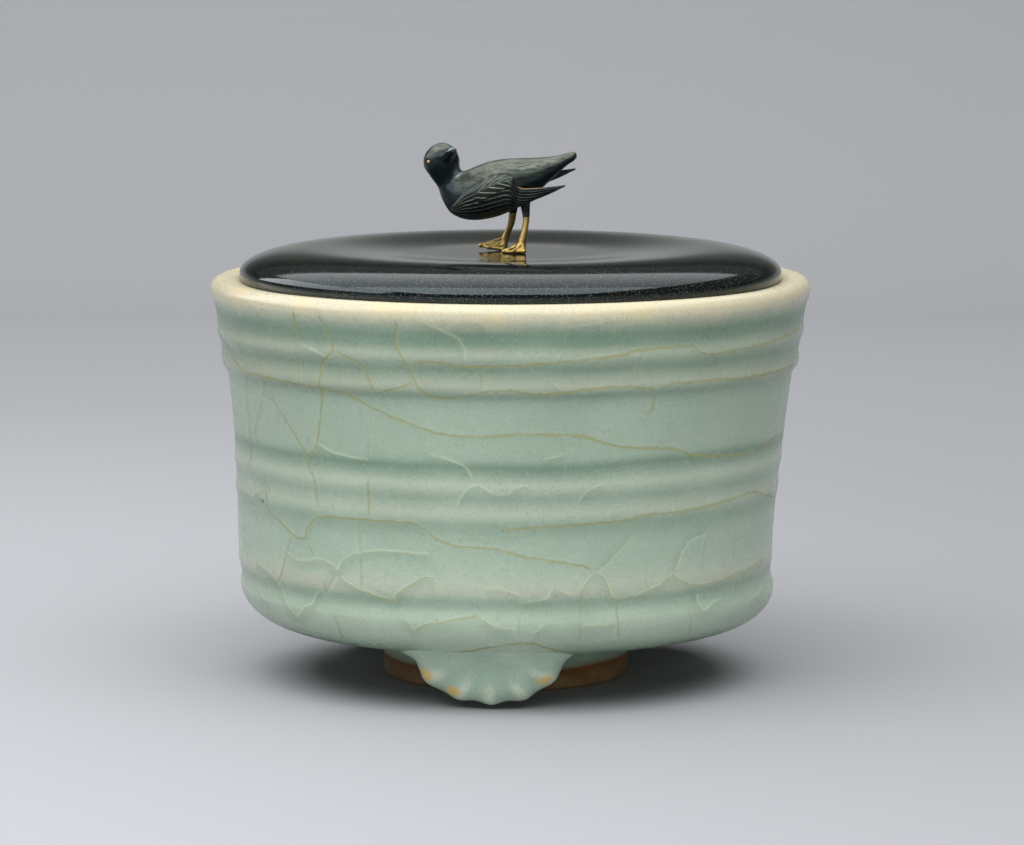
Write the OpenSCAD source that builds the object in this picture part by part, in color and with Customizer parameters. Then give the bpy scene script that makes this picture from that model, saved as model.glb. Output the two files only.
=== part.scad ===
// Covered incense burner: a ribbed celadon bowl on a foot ring and three lobed feet,
// with a turned dark lid that carries a cast bird standing on gilt legs.
// Millimetres. The origin is on the bowl's axis, at the level of the surface it stands on, +Z up.

/* [Bowl] */
// Outer diameter over the lip
mouth_d = 130; // [110:1:160]
// Height of the lip's crest above the table
rim_z = 87; // [76:0.5:110]
// Outer diameter of the upright wall just above the heel
wall_d = 116; // [96:0.2:117]
// Height of the flat underside above the table
under_z = 11.7; // [9:0.1:15]
// Wall thickness
wall_t = 5.5; // [4:0.1:7]
// Floor thickness
floor_t = 6; // [4:0.1:9]
// Width of the rounded heel, measured inwards
heel_w = 11; // [6:0.1:14]
// Height of the rounded heel
heel_h = 8.5; // [5:0.1:11]
// Radius of the rounded lip
lip_r = 2.8; // [2:0.1:3.6]
// How far the lip swells out of the wall
lip_swell = 0.5; // [0.2:0.05:1]
// Radius of the curve between wall and floor inside
bowl_fillet = 8; // [4:0.5:14]

/* [Bow-strings] */
// Drop of the upper pair's first string below the lip's crest
upper_drop = 11.8; // [9:0.1:16]
// Drop of the lower pair's first string below the lip's crest
lower_drop = 39.2; // [30:0.1:44]
// Distance between the two strings of a pair
string_pitch = 6.1; // [4:0.1:8]
// How far an upper string stands out of the wall
upper_string_h = 0.5; // [0.3:0.05:1.2]
// How far a lower string stands out of the wall
lower_string_h = 0.25; // [0.1:0.05:1.2]
// Half width of a string
string_w = 1.7; // [1:0.1:2.2]
// Extra thickness of the collar above the upper pair's lower edge
collar_h = 0.55; // [0:0.05:1]
// Rise of the heel groove above the underside
groove_rise = 11.2; // [9:0.1:16]
// Depth of the heel groove
groove_h = 0.5; // [0.2:0.05:0.9]

/* [Foot ring] */
// Outer diameter at the table
ring_d = 53; // [40:0.5:64]
// Width of the ring
ring_t = 5; // [3.5:0.1:8]
// Chamfer on the ring's lower edges
ring_chamfer = 0.8; // [0.3:0.1:1.4]
// How far each side of the ring spreads up to the bowl
ring_spread = 0.3; // [0:0.1:1]

/* [Moulded feet] */
// Width of a foot across its lobes
foot_w = 30.5; // [22:0.5:38]
// Half thickness of a foot at its root
foot_t = 3.8; // [3:0.1:5.5]
// Distance of a foot's middle inside the upright wall
foot_inset = 16; // [12:0.5:20]
// Gap between the front foot's tip and the table
foot_lift = 0.4; // [0.2:0.1:2]
// Gap between a rear foot's tip and the table
rear_lift = 1.6; // [0.2:0.1:3]
// How far a foot's tip draws in under its root
foot_draw = 2; // [0:0.1:4]
// Extra half width where a foot runs out into the bowl
root_flare = 6; // [2:0.5:8]
// Share by which that flare is larger on the left and smaller on the right
root_skew = 0.3; // [0:0.05:0.5]
// Angle between neighbouring lobes
lobe_step = 33; // [26:1:40]
// Depth of the flutes between the lobes
flute_h = 0.9; // [0.3:0.1:1.5]
// Angle by which the front foot is turned from the front
foot_turn = -5; // [-15:1:15]
// Angle from the front foot to each rear foot
rear_step = 128; // [115:1:132]

/* [Lid] */
// Width of the lip that shows around the lid
lip_show = 6.4; // [5:0.1:8]
// Depth of the lid's seat below the lip's crest
seat_drop = 1.1; // [0.6:0.1:1.6]
// Width of the ledge under the lid, up to the mouth's edge
seat_w = 5; // [4:0.1:7]
// Height of the lid's crest above its seat
lid_rise = 7.05; // [6:0.05:10]
// Height of the lid's widest point above its seat
edge_rise = 1.7; // [1:0.1:2.5]
// Width of the rounded shoulder
shoulder_w = 16.6; // [10:0.1:22]
// Depth of the shallow dish in the lid's top
dish_h = 1.1; // [0.6:0.05:2]
// Radius of the flat middle of the dish
stand_r = 18; // [15:0.5:26]
// Thickness of the lid's plate in the middle
plate_t = 4.6; // [3.5:0.1:5.5]
// Height of the locating flange under the lid
flange_h = 4; // [3:0.1:6]
// Thickness of the locating flange
flange_t = 4; // [3:0.1:6]
// Clearance between the flange and the bowl's mouth
flange_gap = 0.8; // [0.4:0.1:1.2]

/* [Bird] */
// Length of the bird from head to tail tip
bird_length = 33.3; // [28:0.1:40]
// Heading of the bird away from straight left
bird_heading = -12; // [-20:1:20]
// Lean of the body towards its left side
bird_roll = 14; // [0:1:16]
// Turn of the head over the left shoulder
head_turn = 134; // [90:1:150]
// Upward tilt of the beak
beak_rise = 32; // [0:1:45]
// Thickness of a wing
wing_t = 0.8; // [0.5:0.05:1.2]
// Number of long feathers drawn across a wing
feathers = 8; // [5:1:10]
// Height of the step from feather to feather
feather_h = 0.28; // [0.1:0.02:0.4]
// Diameter of an eye
eye_d = 0.9; // [0.7:0.05:1.3]

/* [Fixings] */
// Diameter of a leg's tang through the lid
tang_d = 1.4; // [1:0.1:1.8]
// Diameter of a leg's upper tang in the thigh
hip_tang_d = 0.9; // [0.6:0.05:1.1]
// Depth of the upper tang's socket
socket_h = 2.6; // [1.5:0.1:3]
// Washer diameter
washer_d = 5; // [4:0.1:7]
// Washer thickness
washer_t = 0.6; // [0.4:0.1:1]
// Diameter of the hammered end of a tang
peen_d = 2.4; // [2.1:0.1:3.2]
// How far a tang starts inside its own leg
pin_overlap = 0.4; // [0.2:0.1:0.8]
// Radial clearance of tangs, eyes and washers
pin_gap = 0.05; // [0.02:0.01:0.1]
// Gap that is left for the slip or solder between joined pieces
joint_gap = 0.08; // [0.04:0.01:0.15]

/* [Hidden] */

glaze = "#b4cdb8";
biscuit = "#8c5c38";
lacquer = "#1d1f1d";
bronze = "#2b3431";
gilt = "#c9a24a";

// How far a bore is cut beyond the face that it opens in
cut_over = 1;

// Radii and levels that the pieces share
mouth_r = mouth_d / 2;
wall_r0 = wall_d / 2;
heel_z = under_z + heel_h;
lip_z = rim_z - lip_r;
lid_r = mouth_r - lip_show;
seat_z = rim_z - seat_drop;
open_r = lid_r - seat_w;
flange_r = open_r - flange_gap;
crest_r = lid_r - shoulder_w;
crest_z = seat_z + lid_rise;
stand_z = crest_z - dish_h;
ceiling_z = stand_z - plate_t;
floor_z = under_z + floor_t;
strings = [
    [rim_z - upper_drop, upper_string_h],
    [rim_z - upper_drop - string_pitch, upper_string_h],
    [rim_z - lower_drop, lower_string_h],
    [rim_z - lower_drop - string_pitch, lower_string_h]
];
collar_share = 1.5;
collar_z = rim_z - upper_drop - string_pitch - collar_share * string_w;
groove_z = under_z + groove_rise;

// Easing, bumps and a smooth curve through a list of vectors
function ease(t) = let (c = min(max(t, 0), 1)) c * c * (3 - 2 * c);
function bump(x, w) = exp(-pow(x / w, 2));
function total(list, i = 0) = i < len(list) ? list[i] + total(list, i + 1) : 0;
function curve(p, t) =
    let (
        n = len(p) - 1,
        i = min(floor(t), n - 1),
        f = t - i,
        a = p[max(i - 1, 0)],
        b = p[i],
        c = p[i + 1],
        d = p[min(i + 2, n)]
    )
    b + 0.5 * f * ((c - a) + f * ((2 * a - 5 * b + 4 * c - d) + f * (3 * (b - c) + d - a)));

// The thrown wall flares as a parabola from the heel to the lip
flare = mouth_r - lip_swell - collar_h - wall_r0;
function plain_r(z) = wall_r0 + flare * pow(max(0, (z - heel_z) / (lip_z - heel_z)), 2);
function ribbed_r(z) =
    plain_r(z)
    + collar_h * ease((z - collar_z) / string_w)
    + total([for (s = strings) s[1] * bump(z - s[0], string_w)])
    + lip_swell * bump(z - lip_z, lip_r)
    - groove_h * bump(z - groove_z, string_w);

heel_steps = 10;
function heel_points(grow) = [
    for (i = [0 : heel_steps])
        let (a = -90 + 90 * i / heel_steps)
        [wall_r0 - heel_w + (heel_w + grow) * cos(a), heel_z + (heel_h + grow) * sin(a)]
];

rib_steps = 76;
wall_points = [
    for (i = [1 : rib_steps - 1])
        let (z = heel_z + (lip_z - heel_z) * i / rib_steps)
        [min(ribbed_r(z), mouth_r), z]
];
lip_points = [
    for (i = [0 : 6])
        let (a = 90 * i / 6)
        [mouth_r - lip_r + lip_r * cos(a), lip_z + lip_r * sin(a)]
];
ledge_r = lid_r - edge_rise / 2;
ledge_points = [
    for (i = [1 : 6])
        let (t = i / 6)
        [mouth_r - lip_r + (ledge_r - mouth_r + lip_r) * t, rim_z - seat_drop * ease(t)]
];

// Inside, the lip overhangs a plain wall that curves into the floor
lip_edge_t = 2.6;
lip_root_drop = 7.8;
lip_root_z = seat_z - lip_root_drop;
inner_steps = 8;
function inner_r(z) = plain_r(z) - wall_t;
inner_points = concat(
    [[open_r, seat_z], [open_r, seat_z - lip_edge_t], [inner_r(lip_root_z), lip_root_z]],
    [
        for (i = [1 : inner_steps])
            let (z = lip_root_z + (floor_z + bowl_fillet - lip_root_z) * i / inner_steps)
            [inner_r(z), z]
    ],
    [
        for (i = [1 : 6])
            let (a = -90 * i / 6)
            [
                inner_r(floor_z + bowl_fillet) - bowl_fillet + bowl_fillet * cos(a),
                floor_z + bowl_fillet + bowl_fillet * sin(a)
            ]
    ],
    [[0, floor_z]]
);

module bowl() {
    color(glaze)
        rotate_extrude($fn = 120)
            polygon(concat(
                [[0, under_z]],
                heel_points(0), wall_points, lip_points, ledge_points, inner_points
            ));
}

module foot_ring() {
    r = ring_d / 2;
    color(biscuit)
        rotate_extrude($fn = 120)
            polygon([
                [r - ring_t + ring_chamfer, 0],
                [r - ring_chamfer, 0],
                [r, ring_chamfer],
                [r + ring_spread, under_z],
                [r - ring_t - ring_spread, under_z],
                [r - ring_t, ring_chamfer]
            ]);
}

// A closed skin over equal rings of points, with flat ends
module skin(rings) {
    n = len(rings);
    m = len(rings[0]);
    points = [for (ring = rings) each ring];
    sides = [
        for (k = [0 : n - 2])
            for (j = [0 : m - 1])
                let (a = k * m + j, b = k * m + (j + 1) % m)
                each [[a, b, b + m], [a, b + m, a + m]]
    ];
    first = [for (j = [m - 1 : -1 : 0]) j];
    last = [for (j = [0 : m - 1]) (n - 1) * m + j];
    polyhedron(points, concat([first], sides, [last]), convexity = 6);
}

// A lobed foot is a fan: phi runs round its root, from straight down, and rho out to the scalloped edge
root_sink = 1.3;
foot_root_z = under_z + root_sink;
foot_reach = wall_r0 - foot_inset;
fan_power = 2.1;
flare_from_angle = 66;
flare_to_angle = 98;
fan_end_angle = 104;
hidden_r = 7;
lobe_reach = 2.6;
scallop_share = 0.8;
foot_sides = 48;
foot_rings = 7;
function fan_angle(phi) = phi > 180 ? phi - 360 : phi;
function lobes(phi) =
    abs(phi) < lobe_reach * lobe_step ? 0.5 + 0.5 * cos(360 * phi / lobe_step) : 0.5;
function fan_edge(phi, lift) =
    let (
        across = abs(sin(phi)) / (foot_w / 2),
        down = abs(cos(phi)) / (foot_root_z - lift),
        plain = pow(pow(across, fan_power) + pow(down, fan_power), -1 / fan_power),
        wide = root_flare * (1 - root_skew * sign(phi)),
        flare = wide * ease((abs(phi) - flare_from_angle) / (flare_to_angle - flare_from_angle))
    )
    (abs(phi) < fan_end_angle ? plain + flare : hidden_r) + scallop_share * flute_h * (lobes(phi) - 1);
function fan_point(rho, phi, side, lift) =
    let (
        x = rho * fan_edge(phi, lift),
        belly = foot_t * sqrt(1 - pow(rho, 3)),
        flute = side > 0 ? flute_h * (1 - lobes(phi)) * pow(rho, 2) * (1 - pow(rho, 6)) : 0,
        r = foot_reach - foot_draw * rho * rho * max(0, cos(phi)) + side * belly - flute,
        turn = x * sin(phi) / foot_reach * 180 / PI
    )
    [r * sin(turn), -r * cos(turn), foot_root_z - x * cos(phi)];
function fan_ring(rho, side, lift) = [
    for (j = [0 : foot_sides - 1])
        fan_point(rho, fan_angle(j * 360 / foot_sides), side, lift)
];

module lobed_foot(turn, lift) {
    outermost = foot_rings + 0.4;
    front = [for (k = [1 : foot_rings]) fan_ring(k / outermost, 1, lift)];
    rim = [fan_ring(1, 1, lift)];
    back = [for (k = [foot_rings : -1 : 1]) fan_ring(k / outermost, -1, lift)];
    color(glaze)
        difference() {
            rotate([0, 0, turn]) skin(concat(front, rim, back));
            rotate_extrude($fn = 120)
                polygon(concat(
                    [[0, under_z - joint_gap]],
                    heel_points(joint_gap),
                    [[wall_r0 + joint_gap, rim_z], [0, rim_z]]
                ));
        }
}

module foot_front() { lobed_foot(foot_turn, foot_lift); }
module foot_rear_right() { lobed_foot(foot_turn + rear_step, rear_lift); }
module foot_rear_left() { lobed_foot(foot_turn - rear_step, rear_lift); }

// The lid is dished on top, with an elliptic shoulder and a flange that drops into the mouth
edge_z = seat_z + edge_rise;
dish_points = [
    for (i = [0 : 8])
        let (t = i / 8)
        [stand_r + (crest_r - stand_r) * t, stand_z + dish_h * ease(t)]
];
shoulder_points = [
    for (i = [1 : 12])
        let (a = 90 - 90 * i / 12)
        [crest_r + shoulder_w * cos(a), edge_z + (crest_z - edge_z) * sin(a)]
];
under_edge_points = [
    for (i = [1 : 5])
        let (a = -90 * i / 5)
        [lid_r - edge_rise + edge_rise * cos(a), edge_z + edge_rise * sin(a)]
];

module lid() {
    color(lacquer)
        difference() {
            rotate_extrude($fn = 120)
                polygon(concat(
                    [[0, ceiling_z], [0, stand_z]],
                    dish_points, shoulder_points, under_edge_points,
                    [
                        [flange_r, seat_z],
                        [flange_r, seat_z - flange_h],
                        [flange_r - flange_t, seat_z - flange_h],
                        [flange_r - flange_t, ceiling_z]
                    ]
                ));
            for (side = [-1, 1])
                translate(concat(tang_xy(side), [ceiling_z - cut_over]))
                    cylinder(h = plate_t + 2 * cut_over, d = tang_d + 2 * pin_gap, $fn = 32);
        }
}

// Bird, drawn facing -X with its stance on z = 0, at the length that its outline was drawn to
drawn_length = 33.3;
bird_k = bird_length / drawn_length;
roll_z = 14;

// Stations from tail tip to crown: back x, back z, belly x, belly z, half width
body_stations = [
    [14.85, 21.5, 14.9, 20.9, 0.5],
    [14.4, 22.0, 14.3, 20.2, 1.3],
    [13.2, 21.85, 12.7, 19.1, 1.9],
    [10.6, 21.1, 9.8, 16.5, 2.8],
    [6.3, 20.5, 6.0, 13.0, 4.1],
    [2.5, 20.3, 2.6, 10.3, 5.2],
    [-1.5, 20.0, -1.2, 8.2, 6.1],
    [-4.9, 19.3, -5.1, 7.0, 6.4],
    [-7.6, 18.3, -9.4, 6.7, 6.1],
    [-9.6, 17.4, -13.1, 8.1, 5.2],
    [-10.6, 17.2, -15.1, 11.2, 4.1],
    [-11.0, 17.7, -16.0, 13.9, 3.2],
    [-11.1, 18.6, -17.5, 16.3, 3.4],
    [-11.1, 20.1, -18.8, 18.6, 3.8],
    [-11.8, 21.9, -18.6, 20.9, 3.6],
    [-13.2, 23.1, -17.4, 22.5, 2.4],
    [-14.6, 23.6, -15.9, 23.4, 0.8]
];
body_rings = 40;
body_sides = 28;
last_station = len(body_stations) - 1;
function body_ring(t) =
    let (s = curve(body_stations, t))
    [
        for (j = [0 : body_sides - 1])
            let (a = 360 * j / body_sides, c = 0.5 + 0.5 * cos(a))
            [s[2] + (s[0] - s[2]) * c, -s[4] * sin(a), s[3] + (s[1] - s[3]) * c]
    ];

// Half width of the flank at a point of the side view. The station through the point is found by halving
flank_last = 10;
flank_halvings = 12;
function past_station(t, x, z) =
    let (s = curve(body_stations, t))
    (s[2] - s[0]) * (z - s[1]) - (s[3] - s[1]) * (x - s[0]);
function flank_station(x, z, low, high, halvings) =
    let (mid = (low + high) / 2)
    halvings == 0 ? mid
        : past_station(mid, x, z) < 0 ? flank_station(x, z, mid, high, halvings - 1)
        : flank_station(x, z, low, mid, halvings - 1);
function flank_y(x, z) =
    let (
        s = curve(body_stations, flank_station(x, z, 0, flank_last, flank_halvings)),
        down = [s[2] - s[0], s[3] - s[1]],
        share = ([x - s[0], z - s[1]] * down) / (down * down),
        c = 2 * share - 1
    )
    s[4] * sqrt(max(0, 1 - c * c));

// Head: a frame at its middle, looking along the beak
head_at = [-15.2, 0, 19.55];
module at_head() {
    translate(head_at)
        rotate([0, 0, 180 + head_turn])
            rotate([0, -beak_rise, 0])
                children();
}
// Beak stations along its length: distance, middle height, half width, half height
beak_stations = [
    [1.5, -0.4, 1.9, 1.7],
    [3.6, -0.2, 1.7, 1.35],
    [4.9, 0.1, 1.4, 1.05],
    [6.2, 0.3, 1.25, 0.8],
    [6.9, 0.35, 0.8, 0.5]
];
beak_sides = 16;
beak_rings = 8;
module beak() {
    skin([
        for (i = [0 : beak_rings])
            let (s = curve(beak_stations, (len(beak_stations) - 1) * i / beak_rings))
            [
                for (j = [0 : beak_sides - 1])
                    let (a = 360 * j / beak_sides)
                    [s[0], s[2] * sin(a), s[1] + s[3] * cos(a)]
            ]
    ]);
}

module at_bird() {
    translate([0, 0, stand_z]) rotate([0, 0, bird_heading]) scale(bird_k) children();
}
module rolled() {
    translate([0, 0, roll_z]) rotate([bird_roll, 0, 0]) translate([0, 0, -roll_z]) children();
}

// Where the left and right eye's dome starts: along, out from and up the head
left_eye = [0.5, 3.86, 0.2];
right_eye = [1.3, -3.45, 0.2];
eye_h = 1.2;
module at_eye(side) {
    at_head()
        translate(side > 0 ? left_eye : right_eye)
            rotate([-90 * side, 0, 0])
                children();
}
module eye_pin() {
    translate([0, 0, -eye_h]) cylinder(h = eye_h, d = eye_d, $fn = 32);
}
module eye_socket(gap) {
    translate([0, 0, -eye_h]) cylinder(h = eye_h + eye_d, d = eye_d + 2 * gap, $fn = 32);
}

module bird_body() {
    color(bronze)
        difference() {
            at_bird() {
                rolled() {
                    skin([for (i = [0 : body_rings]) body_ring(last_station * i / body_rings)]);
                    at_head() beak();
                }
                for (side = [-1, 1]) thigh(side);
            }
            at_bird() rolled() for (side = [-1, 1]) at_eye(side) eye_socket(pin_gap / bird_k);
            for (side = [-1, 1]) hip_pin(side, pin_gap);
        }
}

// Wing edges in the side view, from shoulder to tip: upper x, upper z, lower x, lower z
wing_stations = [
    [-12.3, 10.9, -12.2, 10.4],
    [-11.0, 12.2, -11.3, 9.9],
    [-8.5, 15.0, -8.8, 9.4],
    [-5.2, 17.0, -5.8, 8.95],
    [-1.8, 18.3, -2.6, 9.1],
    [1.4, 18.1, 0.4, 10.1],
    [3.0, 15.8, 2.6, 11.1],
    [6.4, 15.75, 6.2, 12.9],
    [9.9, 16.05, 9.8, 14.45],
    [13.3, 16.5, 13.3, 16.25]
];
wing_cols = 24;
wing_rows = 24;
wing_edge_t = 0.22;
tip_thinning = 0.5;
blade_tip_y = 5.7;
blade_from = 0.35;
blade_to = 0.75;
covert_end = 0.62;
covert_fade = 0.05;
last_wing = len(wing_stations) - 1;
// Behind the shoulder the blade leaves the flank, and the coverts lie over its upper half
function blade_y(u) = blade_tip_y * ease((u - blade_from) / (blade_to - blade_from));
function covert(u, v) = ease((covert_end - u) / covert_fade) * ease((covert_end - v) / covert_fade);
function feather_step(v) = let (f = v * feathers) 1 - (f - floor(f));
function wing_out(u, v) =
    let (
        across = sin(180 * v),
        rise = sqrt(max(0, across * sin(min(90, 600 * u)))),
        plain = wing_edge_t + (wing_t - wing_edge_t) * rise
    )
    plain * (1 - tip_thinning * u) + feather_h * (feather_step(v) * across + covert(u, v));
function wing_point(u, v, outer) =
    let (
        s = curve(wing_stations, u * last_wing),
        x = s[0] + (s[2] - s[0]) * v,
        z = s[1] + (s[3] - s[1]) * v,
        y = max(flank_y(x, z) + joint_gap / bird_k, blade_y(u))
    )
    [x, -y - (outer ? wing_out(u, v) : 0), z];
function wing_face(outer) = [
    for (i = [0 : wing_cols])
        for (j = [0 : wing_rows])
            wing_point(i / wing_cols, j / wing_rows, outer)
];

module wing_shell() {
    n = wing_cols + 1;
    m = wing_rows + 1;
    outer = wing_face(true);
    inner = wing_face(false);
    q = n * m;
    faces = [
        for (i = [0 : n - 2])
            for (j = [0 : m - 2])
                let (a = i * m + j, b = a + 1, c = a + m + 1, d = a + m)
                each [[a, c, b], [a, d, c], [q + a, q + b, q + c], [q + a, q + c, q + d]]
    ];
    ends = [
        for (j = [0 : m - 2])
            let (a = j, b = (n - 1) * m + j)
            each [[a, a + 1, q + a + 1], [a, q + a + 1, q + a], [b, q + b + 1, b + 1], [b, q + b, q + b + 1]]
    ];
    sides = [
        for (i = [0 : n - 2])
            let (a = i * m, b = i * m + m - 1)
            each [[a, q + a, q + a + m], [a, q + a + m, a + m], [b, b + m, q + b + m], [b, q + b + m, q + b]]
    ];
    polyhedron(concat(outer, inner), concat(faces, ends, sides), convexity = 6);
}

module wing_left() {
    color(bronze) at_bird() rolled() wing_shell();
}
module wing_right() {
    color(bronze) at_bird() rolled() mirror([0, 1, 0]) wing_shell();
}

module eye(side) {
    color(gilt)
        at_bird()
            rolled()
                at_eye(side) {
                    eye_pin();
                    intersection() {
                        sphere(d = eye_d, $fn = 24);
                        cylinder(h = eye_d, d = 2 * eye_d, $fn = 24);
                    }
                }
}
module eye_left() { eye(1); }
module eye_right() { eye(-1); }

// Legs: thigh, its end, shank and ankle of the left and right leg, as x, y, z, thickness
left_leg = [
    [3.1, -0.6, 12.6, 2.8],
    [3.9, -2.1, 7.7, 1.5],
    [3.8, -2.75, 5.5, 1.3],
    [3.45, -3.3, 3.4, 1.4],
    [3.1, -3.55, 1.6, 1.8]
];
right_leg = [
    [0.7, 1.1, 12.4, 2.6],
    [0.05, 2.15, 8.2, 1.7],
    [-0.4, 2.45, 5.8, 1.4],
    [-1.4, 2.6, 3.6, 1.35],
    [-2.2, 2.6, 1.6, 1.8]
];
// Toes of the left and right foot: angle from straight ahead, length, height of the tip's middle
left_toes = [[14, 3.7, 0.42], [56, 2.6, 0.5], [125, 1.6, 0.5]];
right_toes = [[4, 4.9, 1.0], [30, 3.3, 0.7], [100, 1.6, 0.45]];
leg_sides = 12;
leg_rings = 10;
toe_d = 0.85;
ankle_d = 1.7;
ankle_z = 1.9;
web_h = 1.3;
web_share = 0.78;
thigh_end = 1;
thigh_rings = 4;
last_joint = len(left_leg) - 1;
function leg_path(side) = side < 0 ? left_leg : right_leg;
function toes(side) = side < 0 ? left_toes : right_toes;
function turned(p, a) = [p[0] * cos(a) - p[1] * sin(a), p[0] * sin(a) + p[1] * cos(a)];
function tang_xy(side) =
    let (p = leg_path(side)[last_joint])
    turned([p[0], p[1]] * bird_k, bird_heading);
function leg_ring(path, t) =
    let (s = curve(path, t))
    [
        for (j = [0 : leg_sides - 1])
            let (a = 360 * j / leg_sides)
            [s[0] + s[3] / 2 * cos(a), s[1] + s[3] / 2 * sin(a), s[2]]
    ];

// The cast thigh ends flat, and the leg's upper tang goes up into it
module thigh(side) {
    skin([for (i = [0 : thigh_rings]) leg_ring(leg_path(side), thigh_end * i / thigh_rings)]);
}
module hip_pin(side, gap) {
    end = leg_path(side)[thigh_end];
    at = turned([end[0], end[1]] * bird_k, bird_heading);
    translate([at[0], at[1], stand_z + end[2] * bird_k - pin_overlap])
        cylinder(h = socket_h + gap + pin_overlap, d = hip_tang_d + 2 * gap, $fn = 32);
}

module at_toe(toe, share) {
    rotate([0, 0, 180 + toe[0]]) translate([toe[1] * share, 0, 0]) children();
}
module webbed_foot(toes) {
    for (toe = toes)
        hull() {
            translate([0, 0, ankle_z]) sphere(d = ankle_d, $fn = 16);
            at_toe(toe, 1) translate([0, 0, toe[2]]) sphere(d = toe_d, $fn = 16);
        }
    hull() {
        cylinder(h = web_h, d = ankle_d, $fn = 16);
        for (toe = toes)
            at_toe(toe, web_share)
                translate([0, 0, toe[2] - toe_d / 2])
                    cylinder(h = toe_d / 2, d = toe_d / 2, $fn = 16);
    }
}

module leg(side) {
    path = leg_path(side);
    foot = path[last_joint];
    base = concat(tang_xy(side), [ceiling_z - washer_t]);
    color(gilt) {
        at_bird() {
            skin([
                for (i = [0 : leg_rings])
                    leg_ring(path, thigh_end + (last_joint - thigh_end) * i / leg_rings)
            ]);
            translate([foot[0], foot[1], 0]) webbed_foot(toes(side));
        }
        hip_pin(side, 0);
        translate(base) cylinder(h = stand_z - ceiling_z + washer_t + web_h, d = tang_d, $fn = 32);
        translate(base)
            intersection() {
                sphere(d = peen_d, $fn = 32);
                translate([0, 0, -peen_d]) cylinder(h = peen_d, d = 2 * peen_d, $fn = 32);
            }
    }
}
module leg_left() { leg(-1); }
module leg_right() { leg(1); }

module washer(side) {
    color(gilt)
        translate(concat(tang_xy(side), [ceiling_z - washer_t]))
            difference() {
                cylinder(h = washer_t, d = washer_d, $fn = 48);
                translate([0, 0, -cut_over])
                    cylinder(h = washer_t + 2 * cut_over, d = tang_d + 2 * pin_gap, $fn = 32);
            }
}
module washer_left() { washer(-1); }
module washer_right() { washer(1); }

bowl();
foot_ring();
foot_front();
foot_rear_left();
foot_rear_right();
lid();
bird_body();
wing_left();
wing_right();
eye_left();
eye_right();
leg_left();
leg_right();
washer_left();
washer_right();
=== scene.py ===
import math

import bmesh
import bpy
import numpy as np
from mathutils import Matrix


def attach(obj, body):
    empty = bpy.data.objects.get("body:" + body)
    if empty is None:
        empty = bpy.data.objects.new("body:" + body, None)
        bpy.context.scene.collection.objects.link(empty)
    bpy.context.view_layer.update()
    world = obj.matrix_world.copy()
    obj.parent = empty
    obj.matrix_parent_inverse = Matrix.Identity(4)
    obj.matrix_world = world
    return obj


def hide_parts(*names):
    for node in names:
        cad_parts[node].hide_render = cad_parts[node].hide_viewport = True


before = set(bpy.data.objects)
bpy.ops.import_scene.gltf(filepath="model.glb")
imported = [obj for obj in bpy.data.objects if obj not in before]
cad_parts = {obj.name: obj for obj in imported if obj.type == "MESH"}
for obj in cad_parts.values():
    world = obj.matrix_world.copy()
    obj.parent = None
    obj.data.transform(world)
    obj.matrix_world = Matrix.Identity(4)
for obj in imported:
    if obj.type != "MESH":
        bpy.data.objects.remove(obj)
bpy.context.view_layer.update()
scene = bpy.context.scene
scene.view_settings.view_transform = "Standard"
mm = 0.001
print("frame loaded:", len(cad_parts), "CAD nodes")


class Wire:  # a socket that can be used in sums
    def __init__(self, tree, socket=None):
        self.tree = tree
        self.socket = socket

    def node(self, kind, settings=None, sockets=None, out=0):
        made = self.tree.nodes.new(kind)
        for key, value in (settings or {}).items():
            if key == "stops":
                fillRamp(made.color_ramp, value)
            else:
                setattr(made, key, value)
        for key, value in (sockets or {}).items():
            if isinstance(value, Wire):
                self.tree.links.new(value.socket, made.inputs[key])
            else:
                made.inputs[key].default_value = value
        return Wire(self.tree, made.outputs[out])

    def also(self, out):  # another output of the same node
        return Wire(self.tree, self.socket.node.outputs[out])

    def sum(self, operation, other=0.0, flip=False):
        pair = (other, self) if flip else (self, other)
        return self.node("ShaderNodeMath", {"operation": operation}, dict(enumerate(pair)))

    def __add__(self, other):
        return self.sum("ADD", other)

    __radd__ = __add__

    def __mul__(self, other):
        return self.sum("MULTIPLY", other)

    __rmul__ = __mul__

    def __sub__(self, other):
        return self.sum("SUBTRACT", other)

    def __rsub__(self, other):
        return self.sum("SUBTRACT", other, True)

    def __truediv__(self, other):
        return self.sum("DIVIDE", other)

    def __pow__(self, other):
        return self.sum("POWER", other)

    def between(self, low, high):  # smooth 0 to 1 as the value goes from low to high
        ends = {"Value": self, "From Min": low, "From Max": high}
        return self.node("ShaderNodeMapRange", {"interpolation_type": "SMOOTHSTEP"}, ends)

    def blend(self, first, second):  # colour between two, by this factor
        return self.node("ShaderNodeMix", {"data_type": "RGBA"}, {0: self, 6: first, 7: second}, 2)

    def ramp(self, stops):
        return self.node("ShaderNodeValToRGB", {"stops": stops}, {0: self})

    def xyz(self, *parts):
        return self.node("ShaderNodeCombineXYZ", None, dict(enumerate(parts)))

    def split(self):
        parts = self.node("ShaderNodeSeparateXYZ", None, {0: self})
        return parts, parts.also(1), parts.also(2)


def fillRamp(ramp, stops):
    while len(ramp.elements) > len(stops):
        ramp.elements.remove(ramp.elements[-1])
    while len(ramp.elements) < len(stops):
        ramp.elements.new(1.0)
    for element, (at, colour) in zip(ramp.elements, stops):
        element.position = at
        element.color = colour


def paint(red, green, blue):  # display colour, 0 to 255, as a linear one
    return tuple(
        c / 12.92 if c <= 0.04045 else ((c + 0.055) / 1.055) ** 2.4
        for c in (red / 255, green / 255, blue / 255)
    ) + (1.0,)


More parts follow.
